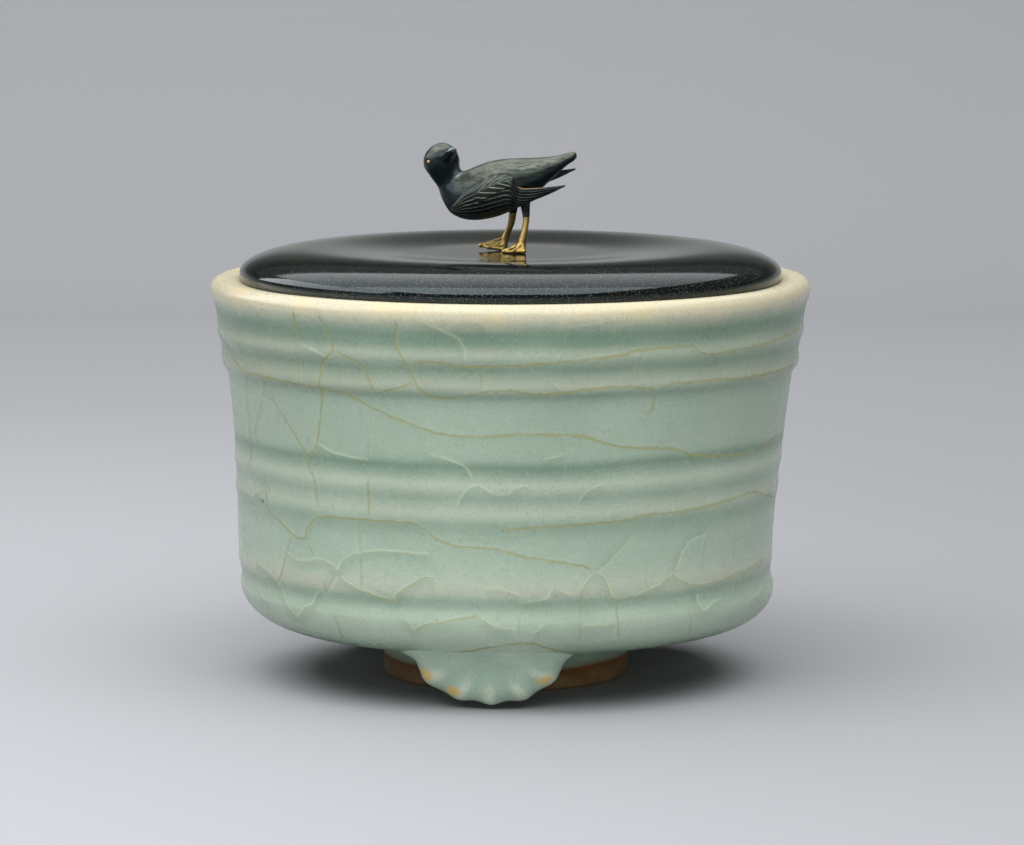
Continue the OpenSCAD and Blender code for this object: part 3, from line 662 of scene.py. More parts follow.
def crackleFinish():
    material, here = newFinish("crackleInGlaze")
    ink, halo, across = carried(here, "ink", "halo", "across")
    off = (0.5 - across) * crackle["width"] + grain(here, 900, 2) * 0.1
    half = 0.26 + grain(here, 170, 3) * 0.36  # half the line's width, mm
    drawn = 1 - off.sum("ABSOLUTE").between(0.0, half * 2.2)
    drawn = drawn * ink * (0.8 + grain(here, 150, 4) * 1.6)
    # the glaze is pale along one side of a line and a little deeper along the other
    beside = off * halo.sum("SIGN")
    pale = (1 - beside.between(-0.1, 1.1)) * beside.between(-0.1, 0.08) * halo.sum("ABSOLUTE")
    shade = (1 - (beside * -1).between(0.0, 2.8)) * (1 - beside.between(-0.1, 0.08)) * halo.sum("ABSOLUTE")
    colour = beside.between(-0.1, 0.08).blend(paint(*crackle["shade"]), paint(*crackle["pale"]))
    colour = drawn.between(0.05, 0.4).blend(colour, paint(*crackle["ochre"]))
    veil = (pale * 0.6).sum("MAXIMUM", shade * 0.22)
    return dress(material, {
        "Base Color": colour,
        "Roughness": 0.3 + grain(here, 180, 3) * 0.1,
        "Alpha": (drawn * 0.74).sum("MAXIMUM", veil).sum("MINIMUM", 1.0),
    })


cracklePiece = grow("bowl.crackle", crackleTree(), crackleSheet(), {
    "Bowl": bowlPiece, "Ribbon Width": crackle["width"] * mm, "Lift": crackle["lift"] * mm,
    "Unwrap Radius": crackle["unwrapR"] * mm, "Ray From": crackle["rayFrom"] * mm}, crackleFinish())
hand(cracklePiece, "vessel", "celadon")
cracklePiece.visible_shadow = False  # stained lines in the glaze, not cords on it
print("crackle laid:", len(cracklePiece.data.polygons), "faces")


# foot ring

footRing = {
    "outerR": 26.5, "width": 5.0, "spread": 0.3, "topZ": 11.9, "round": 0.9,
    "glazeZ": 4.3, "waver": 1.6,  # where the glaze stops, and how far that line wanders
    "clay": (138, 110, 76), "clayDark": (96, 74, 48), "grit": (92, 66, 44), "burnt": (112, 68, 30),
    "glazeDark": (106, 130, 114), "glazeLight": (146, 166, 148), "glazeEdge": (120, 118, 84),
    "segments": 260, "wobble": 0.25, "wobbleScale": 60.0,
}


def ringFinish():
    material, here = newFinish("bareFootRing")
    f = footRing
    z = here.split()[2]
    edge = z - (f["glazeZ"] * mm + grain(here, 70, 3) * (f["waver"] * mm))
    glazed = edge.between(-0.1 * mm, 0.5 * mm)
    burnt = edge.between(-1.9 * mm, -0.3 * mm) * (1 - glazed)
    clay = grain(here, 260, 4).between(-0.35, 0.35).blend(paint(*f["clayDark"]), paint(*f["clay"]))
    clay = grain(here, 1500, 2).between(0.1, 0.4).blend(clay, paint(*f["grit"]))
    clay = (burnt * 0.85).blend(clay, paint(*f["burnt"]))
    pool = grain(here, 160, 3).between(-0.4, 0.4).blend(paint(*f["glazeDark"]), paint(*f["glazeLight"]))
    pool = (1 - edge.between(0.2 * mm, 1.6 * mm)).blend(pool, paint(*f["glazeEdge"]))
    pool = mottled(here, pool)[1]
    relief = grain(here, 700, 4) * 0.5 * (1 - glazed) + glazed * 0.6
    return dress(material, {
        "Base Color": glazed.blend(clay, pool),
        "Roughness": 0.82 - 0.5 * glazed,
        "Normal": raised(relief, 0.5, 0.4),
    })


def ringProfile():
    f = footRing
    out, inn, top, cornerR, spread = f["outerR"], f["outerR"] - f["width"], f["topZ"], f["round"], f["spread"]
    outer = arc((out - cornerR, cornerR), (cornerR, cornerR), -90, 0, 8)
    return outline([
        outer,
        line((out, cornerR + nick), (out + spread, top), 20),
        line((out + spread - bevel, top), (inn - spread + bevel, top), 6),
        line((inn - spread, top), (inn, cornerR + nick), 14),
        arc((inn + cornerR, cornerR), (cornerR, cornerR), 180, 270, 8),
        line((inn + cornerR + bevel, 0.0), (out - cornerR - bevel, 0.0), 6),
        outer[:1],
    ], lambda r, z: -bowl["sway"])


ringPiece = turned("footRing.bare", ringProfile(), ringFinish(), footRing["segments"], footRing["wobble"],
                   footRing["wobbleScale"])
hand(ringPiece, "vessel", "biscuit", "foot_ring")
print("foot ring turned")


# moulded feet: a fan of rounded lobes, running out into the heel

foot = {
    "width": 30.5, "halfT": 3.8, "reach": 42.0, "rootZ": 13.0, "kick": 3.0, "flare": 6.0, "skew": 0.3, "swell": 1.1,
    "flareFrom": 76.0, "flareTo": 98.0, "fanEnd": 98.0, "hiddenR": 4.0,
    "lobeStep": 30.0, "fluteH": 0.8, "power": 2.1, "frontTurn": -5.0, "rearStep": 128.0,
    "frontLift": 0.8, "rearLift": 2.6, "sides": 240, "rings": 44,
    "fullAt": -62.0, "fullW": 24.0,  # the lobe on the left is the fullest
    "sink": 0.25, "sinkAbove": 2.0,  # the run-out lies this far under the heel, from so far above the underside
    # height in mm, and how far the face stands out there to run up into the heel
    "face": [(0, 0.8), (3, 1.8), (6, 3.0), (9, 4.4), (11, 5.6), (12, 6.4), (13, 7.4), (20, 7.4)],
    # where the glaze is thin: angle, share of the way out, how bare
    "spots": [(-64, 0.84, 1.0), (-37, 0.84, 1.1), (57, 0.82, 1.0), (-4, 0.97, 0.4), (25, 0.95, 0.4)],
    "spotTurn": 8.0, "spotDepth": 0.1,
    "flutes": (152, 178, 158), "body": (180, 201, 180), "lobe": (212, 221, 198), "tan": (222, 184, 100),
}


def lobes(phi):
    wave = 0.5 + 0.5 * np.cos(2 * math.pi * phi / foot["lobeStep"])
    return np.where(np.abs(phi) < 2.25 * foot["lobeStep"], wave, 0.5)


def fanEdge(phi, lift):
    f = foot
    a = np.radians(phi)
    across, down = np.abs(np.sin(a)) / (f["width"] / 2), np.abs(np.cos(a)) / (f["rootZ"] - lift)
    plain = (across ** f["power"] + down ** f["power"]) ** (-1 / f["power"])
    wide = f["flare"] * (1 - f["skew"] * np.sign(phi))
    flare = wide * ease((np.abs(phi) - f["flareFrom"]) / (f["flareTo"] - f["flareFrom"]))
    plain = plain + f["swell"] * bump(phi - f["fullAt"], f["fullW"])
    return np.where(np.abs(phi) < f["fanEnd"], plain + flare, f["hiddenR"]) + 0.8 * f["fluteH"] * (lobes(phi) - 1)


def heelR(z):  # outside of the heel
    b = bowl
    share = np.clip((b["heelZ"] - z) / b["heelH"], 0, 1)
    return b["wallR"] - b["heelW"] + b["heelW"] * np.sqrt(1 - share ** 2)


def footMesh(turn, lift):
    f = foot
    phi = np.arange(f["sides"]) * 360 / f["sides"]
    phi = np.where(phi > 180, phi - 360, phi)
    edge = fanEdge(phi, lift)
    edge = (edge + np.roll(edge, 1) + np.roll(edge, -1)) / 3
    rows = []
    steps = np.sin(np.linspace(0.004, 1, f["rings"]) * math.pi / 2)
    for side, shares in ((1, steps), (-1, steps[-2::-1])):
        for rho in shares:
            x = rho * edge
            belly = f["halfT"] * math.sqrt(max(0, 1 - rho ** 7))
            flute = f["fluteH"] * (1 - lobes(phi)) * rho ** 2 * (1 - rho ** 6) if side > 0 else 0
            z = f["rootZ"] - x * np.cos(np.radians(phi))
            r = f["reach"] + f["kick"] * rho ** 2 * np.maximum(0, np.cos(np.radians(phi))) + side * belly - flute
            if side > 0:
                r = r + belly / f["halfT"] * np.interp(z, *zip(*f["face"]))
                r = np.where(z > bowl["underZ"] + f["sinkAbove"], np.minimum(r, heelR(z) - f["sink"]), r)
            swing = x * np.sin(np.radians(phi)) / f["reach"] + math.radians(turn)
            rows.append(np.c_[r * np.sin(swing), -r * np.cos(swing), z])
    points = np.concatenate(rows)
    n, m = len(rows), f["sides"]
    faces = [list(q) for q in gridFaces(n, m, True)]
    faces.append(list(range(m))[::-1])
    faces.append(list(range((n - 1) * m, n * m)))
    share = np.concatenate([np.tile(s, m) for s in np.r_[steps, -steps[-2::-1]]])
    around = np.tile(phi, n)
    thin = np.zeros(len(points))
    for at, out, bare in f["spots"]:
        thin = np.maximum(thin, bare * bump(around - at, f["spotTurn"]) * bump(share - out, f["spotDepth"]))
    high = np.tile(lobes(phi), n) * ease((share - 0.35) / 0.4) * (np.abs(around) < 100)
    return points, faces, {"thin": thin, "ridge": high}


def footFinish():
    material, here = newFinish("celadonFeet")
    thin, ridge = carried(here, "thin", "ridge")
    cloud = grain(here, 120, 4)
    colour = cloud.between(-0.4, 0.4).blend(paint(*foot["flutes"]), paint(*foot["body"]))
    colour = (ridge * (0.8 + cloud * 0.8)).between(0.25, 1.1).blend(colour, paint(*foot["lobe"]))
    fine, colour = mottled(here, colour)
    bare = (thin + grain(here, 420, 4) * 0.35).between(0.2, 0.95)
    colour = (bare * 0.85).blend(colour, paint(*foot["tan"]))
    return dress(material, {
        "Base Color": colour,
        "Roughness": 0.3 + 0.2 * bare,
        "Normal": raised(grain(here, 420, 3) * 0.15 + fine * 0.02, 0.3, 0.6),
    })


footGlaze = footFinish()
for name, step, lift in (("front", 0, foot["frontLift"]), ("rear_right", foot["rearStep"], foot["rearLift"]),
                         ("rear_left", -foot["rearStep"], foot["rearLift"])):
    points, faces, layers = footMesh(foot["frontTurn"] + step, lift)
    piece = newPiece("foot." + name, points * mm, faces, footGlaze, layers)
    hand(piece, "vessel", "celadon", "foot_" + name)
print("three feet moulded")


# lid

lid = {
    "edgeR": 58.6, "edgeZ": 87.6, "edgeDrop": 0.9, "edgeRound": 0.8,
    "crestR": 42.0, "crestZ": 92.95, "standR": 18.0, "standZ": 91.85,
    "seatZ": 85.9, "flangeR": 52.8, "flangeT": 4.0, "flangeH": 4.0, "ceilingZ": 87.25,
    "black": (7, 12, 11), "brown": (17, 22, 20), "paleFleck": (150, 152, 140), "redFleck": (150, 96, 66),
    "tanFleck": (168, 142, 108), "shine": (0.84, 0.97, 1.0, 1), "segments": 288,
}


def lidProfile():
    d = lid
    standR, standZ, crestR, crestZ, edgeR, edgeZ = (d[k + end] for k in ("stand", "crest", "edge") for end in "RZ")
    flangeR, seatZ, ceilingZ = d["flangeR"], d["seatZ"], d["ceilingZ"]
    innerR, tipZ = flangeR - d["flangeT"], seatZ - d["flangeH"]
    cornerR, turnZ = edgeR - d["edgeRound"], edgeZ - d["edgeDrop"]
    t = np.linspace(0, 1, 30)[1:]
    return outline([
        line((0, standZ), (standR, standZ), 10),
        np.c_[standR + (crestR - standR) * t, standZ + (crestZ - standZ) * ease(t)],
        arc((crestR, edgeZ), (edgeR - crestR, crestZ - edgeZ), 90, 0, 46)[1:],
        line((edgeR, edgeZ), (edgeR, turnZ), 5)[1:-1],
        arc((cornerR, turnZ), (d["edgeRound"], turnZ - seatZ), 0, -90, 9),
        line((cornerR - nick - bevel, seatZ), (flangeR + nick, seatZ), 4),
        line((flangeR, seatZ - nick), (flangeR, tipZ + bevel), 5),
        line((flangeR - bevel, tipZ), (innerR + bevel, tipZ), 4),
        line((innerR, tipZ + bevel), (innerR, ceilingZ - nick), 6),
        line((innerR - nick, ceilingZ), (0, ceilingZ), 14),
    ])


def lacquerFinish():
    material, here = newFinish("darkLacquer")
    x, y = here.split()[:2]
    radius = (x * x + y * y) ** 0.5
    rings = here.node("ShaderNodeTexNoise", {"noise_dimensions": "1D"}, {"W": radius, "Scale": 1400.0, "Detail": 3.0})
    turning = grain(here, 60, 4) + (rings - 0.5) * 0.8
    base = turning.between(-0.4, 0.4).blend(paint(*lid["black"]), paint(*lid["brown"]))
    # two sizes of worn flecks: a pale dust and sparser reddish grains
    patch = grain(here, 45, 3)
    dust, chance = flecks(here, 2400)[:2]
    pale = (1 - dust.between(0.12, 0.36)) * chance.between(0.05, 0.45) * (0.6 + patch * 0.8)
    grains, pick, shade = flecks(here, 900)
    red = (1 - grains.between(0.05, 0.14)) * pick.between(0.45, 0.7) * (0.6 + patch * 0.8)
    colour = (pale * 0.55).blend(base, paint(*lid["paleFleck"]))
    colour = red.blend(colour, shade.between(0.3, 0.6).blend(paint(*lid["redFleck"]), paint(*lid["tanFleck"])))
    relief = (rings - 0.5) * 0.03 + patch * 0.12
    return dress(material, {
        "Base Color": colour,
        "Roughness": 0.1 + (rings - 0.5) * 0.05 + pale * 0.1 + red * 0.3 + grain(here, 140, 4) * 0.05,
        "IOR": 1.52,
        "Specular Tint": lid["shine"],
        "Normal": raised(relief, 0.05, 0.3),
    })


lidPiece = turned("lid.lacquered", lidProfile(), lacquerFinish(), lid["segments"])
hand(lidPiece, "cover", "lacquer", "lid")
print("lid turned")


# bird

bird = {
    "standZ": 91.85, "heading": -12.0, "roll": 14.0, "rollZ": 14.0,
    "voxel": 0.13, "softening": 3, "legVoxel": 0.09, "legSoftening": 4,
    # from tail tip to crown: back x, back z, belly x, belly z, half width
    "body": [
        (14.85, 21.5, 14.9, 20.9, 0.5), (14.4, 22.0, 14.3, 20.2, 1.3), (13.2, 21.85, 12.7, 19.1, 1.9),
        (10.6, 21.1, 9.8, 16.5, 2.8), (6.3, 20.5, 6.0, 13.0, 4.1), (2.5, 20.3, 2.6, 10.3, 5.2),
        (-1.5, 20.0, -1.2, 8.2, 6.1), (-4.9, 19.3, -5.1, 7.0, 6.4), (-7.6, 18.3, -9.4, 6.7, 6.1),
        (-9.6, 17.4, -13.1, 8.1, 5.2), (-10.6, 17.2, -15.1, 11.2, 4.1), (-11.0, 17.7, -16.0, 13.9, 3.2),
        (-11.1, 18.6, -17.5, 16.3, 3.4), (-11.1, 20.1, -18.8, 18.6, 3.8), (-11.8, 21.9, -18.6, 20.9, 3.6),
        (-13.2, 23.1, -17.4, 22.5, 2.4), (-14.6, 23.6, -15.9, 23.4, 0.8),
    ],
    "flankLast": 10.0,
    "headAt": (-15.2, 0.0, 19.55), "headTurn": 134.0, "beakRise": 32.0,
    # distance along the beak, middle height, half width, half height
    "beak": [(1.5, -0.4, 1.9, 1.7), (3.6, -0.2, 1.7, 1.35), (4.9, 0.1, 1.4, 1.05), (6.2, 0.3, 1.25, 0.8),
             (6.9, 0.35, 0.8, 0.5)],
    "beakFrom": 2.9, "beakFade": 0.8, "beakHalf": 2.6, "beakLow": -2.4, "beakTop": 1.75,
    "neckX": -8.0, "neckRun": 6.0, "neckZ": 19.0, "neckRise": 4.0,  # where the neck's cool colour starts and fades
    "mouthDrop": 0.25, "mouthW": 0.16, "mouthD": 0.14,  # groove between the halves of the beak
    "eyeAt": {1: (0.5, 3.86, 0.2), -1: (1.3, -3.45, 0.2)}, "eyeR": 0.45, "eyeDepth": 1.2, "eyeSides": 40,
    # thigh, its end, shank and ankle: x, y, z, thickness
    "leftLeg": [(3.1, -0.6, 12.6, 2.8), (3.9, -2.1, 7.7, 1.5), (3.8, -2.75, 5.5, 1.4), (3.45, -3.3, 3.4, 1.6),
                (3.1, -3.55, 1.6, 2.2)],
    "rightLeg": [(0.7, 1.1, 12.4, 2.6), (0.05, 2.15, 8.2, 1.7), (-0.4, 2.45, 5.8, 1.5), (-1.4, 2.6, 3.6, 1.55),
                 (-2.2, 2.6, 1.6, 2.1)],
    # toes: angle from straight ahead, length, height of the tip's middle
    "leftToes": [(14, 3.7, 0.42), (56, 2.6, 0.5), (125, 1.6, 0.5)],
    "rightToes": [(4, 4.9, 1.0), (30, 3.3, 0.7), (100, 1.6, 0.45)],
    "toeR": 0.52, "ankleR": 1.05, "ankleZ": 1.9, "webH": 2.2, "webShare": 0.9, "webR": 0.42, "webSink": 0.05,
    "knuckleShare": 0.55, "knuckleRise": 0.5, "knuckleSwell": 1.2,
    "shadow": (23, 30, 29), "patina": (60, 67, 59), "wornAndLit": (138, 142, 125), "slate": (13, 33, 41),
    "slit": (14, 18, 20), "goldDeep": (146, 121, 66), "goldBright": (192, 168, 104), "goldWorn": (98, 74, 40),
    "gap": (160, 126, 80),  # warm line along the upper edge of the flight feathers
    "sheen": (134, 150, 156), "napeAt": (-11.2, -1.55, 17.3), "napeR": 0.95,  # painted highlight, pale blue, in the crook of the neck
    "tipFrom": 6.35,  # and a painted highlight from here to the tip of the bill
}


def turn(points, axis, degrees):
    a = math.radians(degrees)
    c, s = math.cos(a), math.sin(a)
    p = np.array(points, float)
    i, j = {"x": (1, 2), "y": (2, 0), "z": (0, 1)}[axis]
    u, v = p[:, i].copy(), p[:, j].copy()
    p[:, i], p[:, j] = c * u - s * v, s * u + c * v
    return p


def rolled(points, way=1):
    shift = np.array([0, 0, bird["rollZ"]])
    return turn(np.asarray(points, float) - shift, "x", way * bird["roll"]) + shift


def perched(points):  # bird frame to object frame, in metres
    return (turn(points, "z", bird["heading"]) + np.array([0, 0, bird["standZ"]])) * mm


def unperched(points):
    return turn(np.asarray(points) / mm - np.array([0, 0, bird["standZ"]]), "z", -bird["heading"])


def atHead(points):
    p = turn(turn(points, "y", -bird["beakRise"]), "z", 180 + bird["headTurn"])
    return p + np.array(bird["headAt"])


def fromHead(points):
    p = turn(np.asarray(points) - np.array(bird["headAt"]), "z", -180 - bird["headTurn"])
    return turn(p, "y", bird["beakRise"])


def tube(rings):  # closed skin over equal rings
    n, m = len(rings), len(rings[0])
    faces = [list(q) for q in gridFaces(n, m, True)]
    faces.append(list(range(m))[::-1])
    faces.append([(n - 1) * m + j for j in range(m)])
    return np.concatenate(rings), faces


def bodyRings(count, sides):
    s = curve(bird["body"], np.linspace(0, len(bird["body"]) - 1, count))
    a = np.arange(sides) * 2 * math.pi / sides
    c = 0.5 + 0.5 * np.cos(a)
    return [np.c_[r[2] + (r[0] - r[2]) * c, -r[4] * np.sin(a), r[3] + (r[1] - r[3]) * c] for r in s]


def beakRings(count, sides):
    s = curve(bird["beak"], np.linspace(0, len(bird["beak"]) - 1, count))
    a = np.arange(sides) * 2 * math.pi / sides
    return [np.c_[np.full(sides, r[0]), r[2] * np.sin(a), r[1] + r[3] * np.cos(a)] for r in s]


def legRings(path, first, last, count, sides):
    s = curve(path, np.linspace(first, last, count))
    a = np.arange(sides) * 2 * math.pi / sides
    return [np.c_[r[0] + r[3] / 2 * np.cos(a), r[1] + r[3] / 2 * np.sin(a), np.full(sides, r[2])] for r in s]


def ball(centre, radius, count=90):  # even points on a sphere
    i = np.arange(count) + 0.5
    tall = 1 - 2 * i / count
    a = i * math.pi * (3 - math.sqrt(5))
    wide = np.sqrt(1 - tall ** 2)
    return np.asarray(centre) + radius * np.c_[wide * np.cos(a), wide * np.sin(a), tall]


def wrapped(clouds):  # tight skin round groups of points
    shape = bmesh.new()
    for p in np.concatenate(clouds):
        shape.verts.new(p)
    found = bmesh.ops.convex_hull(shape, input=shape.verts, use_existing_faces=False)
    loose = set(found["geom_interior"]) | set(found["geom_unused"])
    bmesh.ops.delete(shape, geom=[g for g in loose if isinstance(g, bmesh.types.BMVert)], context="VERTS")
    shape.verts.index_update()
    points = np.array([v.co for v in shape.verts])
    faces = [[v.index for v in f.verts] for f in shape.faces]
    shape.free()
    return points, faces


def fused(name, shells, finish, voxel, softening):  # several skins cast as one
    points, faces, base = [], [], 0
    for p, f in shells:
        points.append(p)
        faces += [[k + base for k in q] for q in f]
        base += len(p)
    mesh = bpy.data.meshes.new(name)
    mesh.from_pydata(np.concatenate(points).tolist(), [], faces)
    carrier = bpy.data.objects.new(name + "Carrier", mesh)
    scene.collection.objects.link(carrier)
    remesh = carrier.modifiers.new("cast", "REMESH")
    remesh.mode = "VOXEL"
    remesh.voxel_size = voxel * mm
    soft = carrier.modifiers.new("soft", "SMOOTH")
    soft.factor = 0.5
    soft.iterations = softening
    return settle(name, carrier, finish)


def bronzeFinish():
    material, here = newFinish("patinatedBronze")
    ridge, slate, slit, warm, sheen = carried(here, "ridge", "slate", "slit", "warm", "sheen")
    cloud = grain(here, 260, 4)
    # fine combed lines along the bird
    combed = here.node("ShaderNodeMapping", None, {
        "Vector": here, "Rotation": (0, 0, math.radians(-bird["heading"])), "Scale": (0.12, 1.0, 1.0)})
    comb = grain(combed, 2600, 2)
    colour = (cloud + comb * 1.2).between(-0.4, 0.4).blend(paint(*bird["shadow"]), paint(*bird["patina"]))
    # the worn colour is wear on the chased ridges, and painted light on the top of the body and along the bill
    colour = (ridge + cloud * 0.3 + comb * 0.7).between(0.2, 1.1).blend(colour, paint(*bird["wornAndLit"]))
    # slate is patina on the neck and flight feathers, and painted shade under the body and on the bill
    colour = (slate * 0.9).blend(colour, paint(*bird["slate"]))
    # painted highlight in the crook of the neck and on the tip of the bill
    colour = sheen.blend(colour, paint(*bird["sheen"]))
    colour = slit.blend(colour, paint(*bird["slit"]))
    colour = warm.blend(colour, paint(*bird["gap"]))
    relief = grain(here, 1800, 4) * 0.3 + grain(here, 600, 3) * 0.4 + comb * 0.7
    return dress(material, {
        "Base Color": colour,
        "Metallic": 0.6,
        "Roughness": 0.33 + cloud * 0.25,
        "Normal": raised(relief, 0.45, 0.12),
    })


def giltFinish():
    material, here = newFinish("gilding")
    cloud = grain(here, 420, 4)
    colour = cloud.between(-0.3, 0.35).blend(paint(*bird["goldDeep"]), paint(*bird["goldBright"]))
    colour = grain(here, 900, 3).between(0.1, 0.4).blend(colour, paint(*bird["goldWorn"]))
    return dress(material, {
        "Base Color": colour,
        "Metallic": 0.9,
        "Roughness": 0.42 + cloud * 0.25,
        "Normal": raised(grain(here, 1200, 4), 0.15, 0.12),
    })


bronze, gilt = bronzeFinish(), giltFinish()


def birdBody():
    shells = [tube(bodyRings(150, 80)), tube([atHead(r) for r in beakRings(30, 40)])]
    shells = [(rolled(p), f) for p, f in shells]
    for path in (bird["leftLeg"], bird["rightLeg"]):
        shells.append(tube(legRings(path, 0, 1, 16, 32)))
    shells = [(perched(p), f) for p, f in shells]
    return fused("bird.body", shells, bronze, bird["voxel"], bird["softening"])


def chaseBody(piece):  # the mouth is cut in, and the colours of back, neck and beak are laid on, with painted light on top, painted shade below and painted highlights
    b = bird
    mesh = piece.data
    co = corners(mesh)
    normal = np.array([v.normal for v in mesh.vertices])
    body = rolled(unperched(co), -1)
    head = fromHead(body)
    ahead, aside, above = head.T
    beak = ease((ahead - b["beakFrom"]) / b["beakFade"]) * (np.abs(aside) < b["beakHalf"]) * (above > b["beakLow"])
    stations = np.interp(ahead, [s[0] for s in b["beak"]], range(len(b["beak"])))
    below = above - curve(b["beak"], stations)[:, 1] + b["mouthDrop"]
    slit = beak * bump(below, b["mouthW"])
    co -= normal * (slit * b["mouthD"] * mm)[:, None]
    mesh.vertices.foreach_set("co", co.ravel())
    mesh.update()
    # painted light: faces that look up are lightened with the worn colour, and the neck's cool colour is kept off them
    top = ease((normal[:, 2] - 0.1) / 0.8)
    neck = ease((b["neckX"] - body[:, 0]) / b["neckRun"]) * (1 - ease((body[:, 2] - b["neckZ"]) / b["neckRise"]))
    neck = neck * (1 - 0.6 * top)
    # painted shade on the underside of the bill
    under = beak * ease(-below / 0.5)
    # painted shade: faces that look down take the dark slate colour, beside the neck's real patina
    cool = np.maximum(neck, 0.8 * ease((0.3 - normal[:, 2]) / 0.9))
    bill = 0.55 * beak * bump(below - 0.5, 0.25)  # painted highlight along the upper edge of the bill
    dark = beak * ease((b["beakTop"] - above) / 0.4)  # painted shade over the bill, without the forehead
    # painted highlight on the top of the bill's tip
    tip = ease((ahead - b["tipFrom"]) / 0.35) * ease((above - 0.05) / 0.4)
    napeHighlight = bump(np.linalg.norm(body - np.array(b["napeAt"]), axis=1), b["napeR"])
    carry(mesh, {
        "ridge": np.maximum(0.62 * top * (1 - under) * (1 - 0.6 * dark), bill),
        "slate": np.maximum(cool, np.maximum(under, 0.7 * dark)),
        "slit": 0.8 * slit,
        "sheen": np.maximum(0.8 * napeHighlight, 0.8 * tip),
    })


bodyPiece = birdBody()
chaseBody(bodyPiece)
hand(bodyPiece, "cover", "bronze", "bird_body")
print("bird body cast:", len(bodyPiece.data.polygons), "faces")


wing = {
    # from shoulder to tip: upper x, upper z, lower x, lower z
    "stations": [
        (-12.3, 10.9, -12.2, 10.2), (-11.0, 12.2, -11.3, 9.2), (-8.5, 15.0, -8.8, 8.1), (-5.2, 17.0, -5.8, 7.8),
        (-1.8, 18.3, -2.6, 8.4), (1.4, 18.1, 0.4, 9.8), (3.0, 15.8, 2.6, 11.1), (6.4, 15.75, 6.2, 12.9),
        (9.9, 16.05, 9.8, 14.45), (13.3, 16.5, 13.3, 16.25),
    ],
    "thickness": 0.8, "edge": 0.22, "tipThinning": 0.5, "bladeTip": 5.7, "bladeFrom": 0.35, "bladeTo": 0.75,
    "feathers": 9, "featherH": 0.26, "gap": 0.08, "cols": 230, "rows": 130,
    "tipShare": 0.5,
    "covertEnd": 0.6, "covertLow": 0.56, "covertTip": 0.24, "covertFrom": 0.26, "fade": 0.03, "covertH": 0.22,
    "chevrons": 15.0, "chevronLean": 1.9,  # rows of coverts in the wing's length, and how far each V leans back
    "warm": 0.4, "warmFrom": 0.63, "warmTo": 0.88, "warmDeep": 0.07, "warmFade": 0.03,  # line along the upper edge
}


def flankY(x, z):  # half width of the body at a point of its side view
    low, high = np.zeros_like(x), np.full_like(x, bird["flankLast"])
    for _ in range(14):
        mid = (low + high) / 2
        s = curve(bird["body"], mid)
        past = (s[..., 2] - s[..., 0]) * (z - s[..., 1]) - (s[..., 3] - s[..., 1]) * (x - s[..., 0])
        low, high = np.where(past < 0, mid, low), np.where(past < 0, high, mid)
    s = curve(bird["body"], (low + high) / 2)
    down = np.stack([s[..., 2] - s[..., 0], s[..., 3] - s[..., 1]], -1)
    share = ((x - s[..., 0]) * down[..., 0] + (z - s[..., 1]) * down[..., 1]) / (down ** 2).sum(-1)
    return s[..., 4] * np.sqrt(np.maximum(0, 1 - (2 * share - 1) ** 2))


def feathering(u, v):  # height of the chasing, and where it is rubbed bright
    w = wing
    across = np.sin(math.pi * v)
    f = v * w["feathers"] * (1 - w["tipShare"] * ease((u - 0.5) / 0.35))  # the quills run off along the lower edge
    quill = 1 - (f - np.floor(f))
    lowAt = np.interp(u, (w["covertFrom"], w["covertEnd"]), (w["covertLow"], w["covertTip"]))
    vee = u * w["chevrons"] + w["chevronLean"] * (1 - np.abs(2 * v / lowAt - 0.9))
    vee = vee - np.floor(vee)
    covert = ease((w["covertEnd"] - u) / w["fade"]) * ease((lowAt - v) / w["fade"])
    covert = covert * ease((u - w["covertFrom"]) / 0.1)
    low = quill * across * (1 - covert)
    high = covert * (w["covertH"] / w["featherH"] + vee * np.sqrt(across))
    bright = ease((quill - 0.62) / 0.35) * across * (1 - covert) + covert * ease((vee - 0.6) / 0.35)
    return w["featherH"] * (low + high), bright


